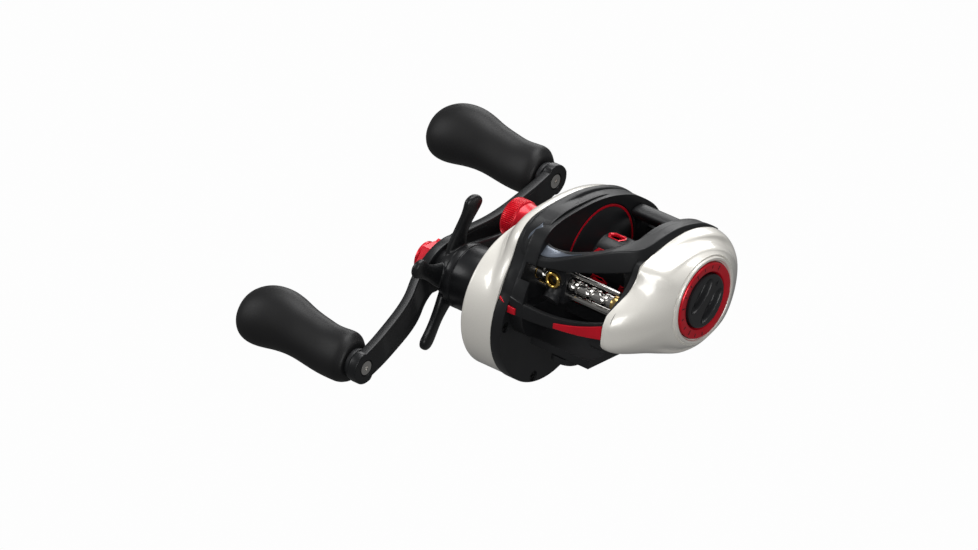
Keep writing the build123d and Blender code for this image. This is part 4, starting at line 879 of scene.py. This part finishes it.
@dataclass
class SpoolTrim:
    """Coloured frames round the arbor's windows."""

    arbor_r: float = 8.0
    windows: int = 6

    def frames(self) -> bpy.types.Object:
        """Hexagonal frames bent round the arbor.

        A frame's corner at (a, b) sits at x + a and at the angle b over the arbor's radius. Four
        hexagons, from outside to inside, make its bevel.
        """
        hexagon = np.array([(-3.2, 0.0), (-2.0, 1.9), (2.0, 1.9), (3.2, 0.0), (2.0, -1.9), (-2.0, -1.9)])
        sides = [np.linspace(hexagon[k], hexagon[(k + 1) % 6], 8, endpoint=False) for k in range(6)]
        flat = np.concatenate(sides)
        rings = [(1.0, 7.9), (1.0, 8.14), (0.90, 8.22), (0.72, 8.0), (0.68, 7.3)]
        grids = []
        for index in range(self.windows):
            for x in (-5.2, 5.2):
                rows = []
                for scale, radius in rings:
                    turn = np.radians(90 + index * 60) + flat[:, 1] * scale / self.arbor_r
                    rows.append(np.stack([x + flat[:, 0] * scale, radius * np.cos(turn),
                                          SPOOL_AXIS[1] + radius * np.sin(turn)], axis=1))
                grids.append((np.stack(rows), True))
        return grid_mesh("window_frames", grids, 25)

    def build(self) -> None:
        """Make and dress the frames."""
        dress(self.frames(), RED, "spool", "red_anodised")


@dataclass
class LevelWind:
    """Grooved worm of the line guide."""

    radius: float = 1.9
    left: float = -14.1
    right: float = 13.4
    pitch: float = 5.4
    groove: float = 0.62

    def worm(self) -> bpy.types.Object:
        """Rod with two crossed helical grooves: the radius drops by a Gaussian of the distance to
        each helix, measured in turns."""
        x = np.linspace(self.left, self.right, 330)[:, None]
        angle = np.linspace(0, 2 * np.pi, 72, endpoint=False)[None, :]
        depth = 0 * x * angle
        inside = smoothstep(self.left + 1.2, self.left + 2.0, x)
        inside = inside * (1 - smoothstep(self.right - 2.0, self.right - 1.2, x))
        for hand in (-1, 1):
            phase = (x / self.pitch + hand * angle / (2 * np.pi)) % 1.0
            depth = np.maximum(depth, bump(phase, 0.5, 0.11))
        r = self.radius - self.groove * depth * inside
        y, z = WORM_AXIS[0] + r * np.cos(angle), WORM_AXIS[1] + r * np.sin(angle)
        barrel = np.stack([x + 0 * angle, y, z], axis=2)
        left = turned(np.array([(-19.2, 0.0), (-19.2, 1.2), (self.left, 1.2)]), WORM_AXIS, 72)
        right = turned(np.array([(self.right, 1.2), (15.0, 1.2), (15.0, 0.0)]), WORM_AXIS, 72)
        return grid_mesh("worm_screw", [(np.concatenate([left, barrel, right]), False)], 35)

    def build(self) -> None:
        """Make and dress the worm."""
        dress(self.worm(), STEEL, "worm", "steel", "worm_shaft")


# ------------------------------------------------------------------ CAD nodes and studio
@dataclass
class CadNodes:
    """Finishes for the CAD nodes that stay in view, by the record's material slots."""

    bevel: float = 0.16

    def dress(self) -> None:
        """Give each node its slot's finish and a small rounding of its sharp edges."""
        for part in frame["record"]["subparts"]:
            node = frame["nodes"][part["node"]]
            if node.hide_render:
                continue
            node.data.materials.clear()
            node.data.materials.append(FINISHES[part["material_slot"]].material())
            weld = node.modifiers.new("weld", "WELD")
            weld.merge_threshold = 1e-6
            edge = node.modifiers.new("edge", "BEVEL")
            edge.width = self.bevel * MM
            edge.segments = 2
            edge.limit_method = "ANGLE"
            edge.angle_limit = np.radians(40)
            edge.use_clamp_overlap = True
            edge.harden_normals = False
        LOG.info("CAD nodes dressed: %d", len(frame["nodes"]))


@dataclass
class Studio:
    """White floor seen only by the camera, dim surroundings, soft boxes and the camera."""

    right: tuple[float, float, float] = (0.766, 0.637, 0.088)
    up: tuple[float, float, float] = (-0.342, 0.288, 0.895)
    toward: tuple[float, float, float] = (0.545, -0.715, 0.438)
    field_width: float = 287.6
    distance: float = 1600.0
    floor_z: float = -34.0
    surroundings: float = 0.16
    boxes: tuple[tuple[str, tuple[float, float, float], float, float], ...] = (
        ("top_softbox", (-0.1, 0.1, 0.8), 0.6, 6.4),
        ("front_softbox", (0.6, -0.75, 0.40), 0.5, 4.6),
        ("left_strip", (-0.75, -0.5, 0.35), 0.3, 1.6),
        ("rear_softbox", (-0.45, 0.70, 0.42), 0.5, 2.2))

    def camera(self) -> None:
        """Camera on the line of sight, its lens set by the field width at the object's distance."""
        right, up, toward = (Vector(v).normalized() for v in (self.right, self.up, self.toward))
        target = -39.5 * right + 17.6 * up
        data = bpy.data.cameras.new("camera")
        data.sensor_width = 36
        data.lens = 36 * self.distance / self.field_width
        data.clip_end = 20
        camera = bpy.data.objects.new("camera", data)
        bpy.context.scene.collection.objects.link(camera)
        place = Matrix((right, up, toward)).transposed().to_4x4()
        place.translation = (target + toward * self.distance) * MM
        camera.matrix_world = place
        bpy.context.scene.camera = camera

    def light(self, name: str, spot: tuple[float, float, float], size: float, power: float) -> None:
        """Square soft light, aimed at the reel; spot is in metres."""
        data = bpy.data.lights.new(name, "AREA")
        data.size = size
        data.energy = power
        lamp = bpy.data.objects.new(name, data)
        lamp.location = spot
        lamp.rotation_euler = (Vector((0, 0, 0.015)) - Vector(spot)).to_track_quat("-Z", "Y").to_euler()
        bpy.context.scene.collection.objects.link(lamp)

    def floor(self) -> None:
        """Large white floor under the reel, which gives no light and shows in no reflection."""
        mesh = bpy.data.meshes.new("floor")
        corners = np.array([(-6, -6), (6, -6), (6, 6), (-6, 6)], float)
        mesh.from_pydata([(x, y, self.floor_z * MM) for x, y in corners], [], [(0, 1, 2, 3)])
        piece = bpy.data.objects.new("floor", mesh)
        bpy.context.scene.collection.objects.link(piece)
        material = bpy.data.materials.new("floor")
        material.use_nodes = True
        shader = material.node_tree.nodes["Principled BSDF"]
        shader.inputs["Base Color"].default_value = (0.0, 0.0, 0.0, 1)
        shader.inputs["Specular IOR Level"].default_value = 0.0
        shader.inputs["Emission Color"].default_value = (0.985, 0.985, 0.985, 1)
        shader.inputs["Emission Strength"].default_value = 1.0
        mesh.materials.append(material)
        piece.visible_diffuse = False
        piece.visible_glossy = False

    def build(self) -> None:
        """Set up world, lights, floor and camera."""
        world = bpy.data.worlds.new("studio")
        world.use_nodes = True
        world.node_tree.nodes["Background"].inputs["Color"].default_value = (1, 1, 1, 1)
        world.node_tree.nodes["Background"].inputs["Strength"].default_value = self.surroundings
        bpy.context.scene.world = world
        bpy.context.scene.view_settings.view_transform = "Standard"
        self.floor()
        for name, spot, size, power in self.boxes:
            self.light(name, spot, size, power)
        self.camera()


def main() -> None:
    """Build the sub-assemblies in order and report each piece."""
    logging.basicConfig(level=logging.INFO, format="%(name)s: %(message)s")
    Studio().build()
    PalmSide().build()
    GearSide().build()
    Hood().build()
    FrontBar().build()
    Handle().build()
    TensionKnob().build()
    SpoolTrim().build()
    LevelWind().build()
    CadNodes().dress()


if __name__ == "__main__":
    main()
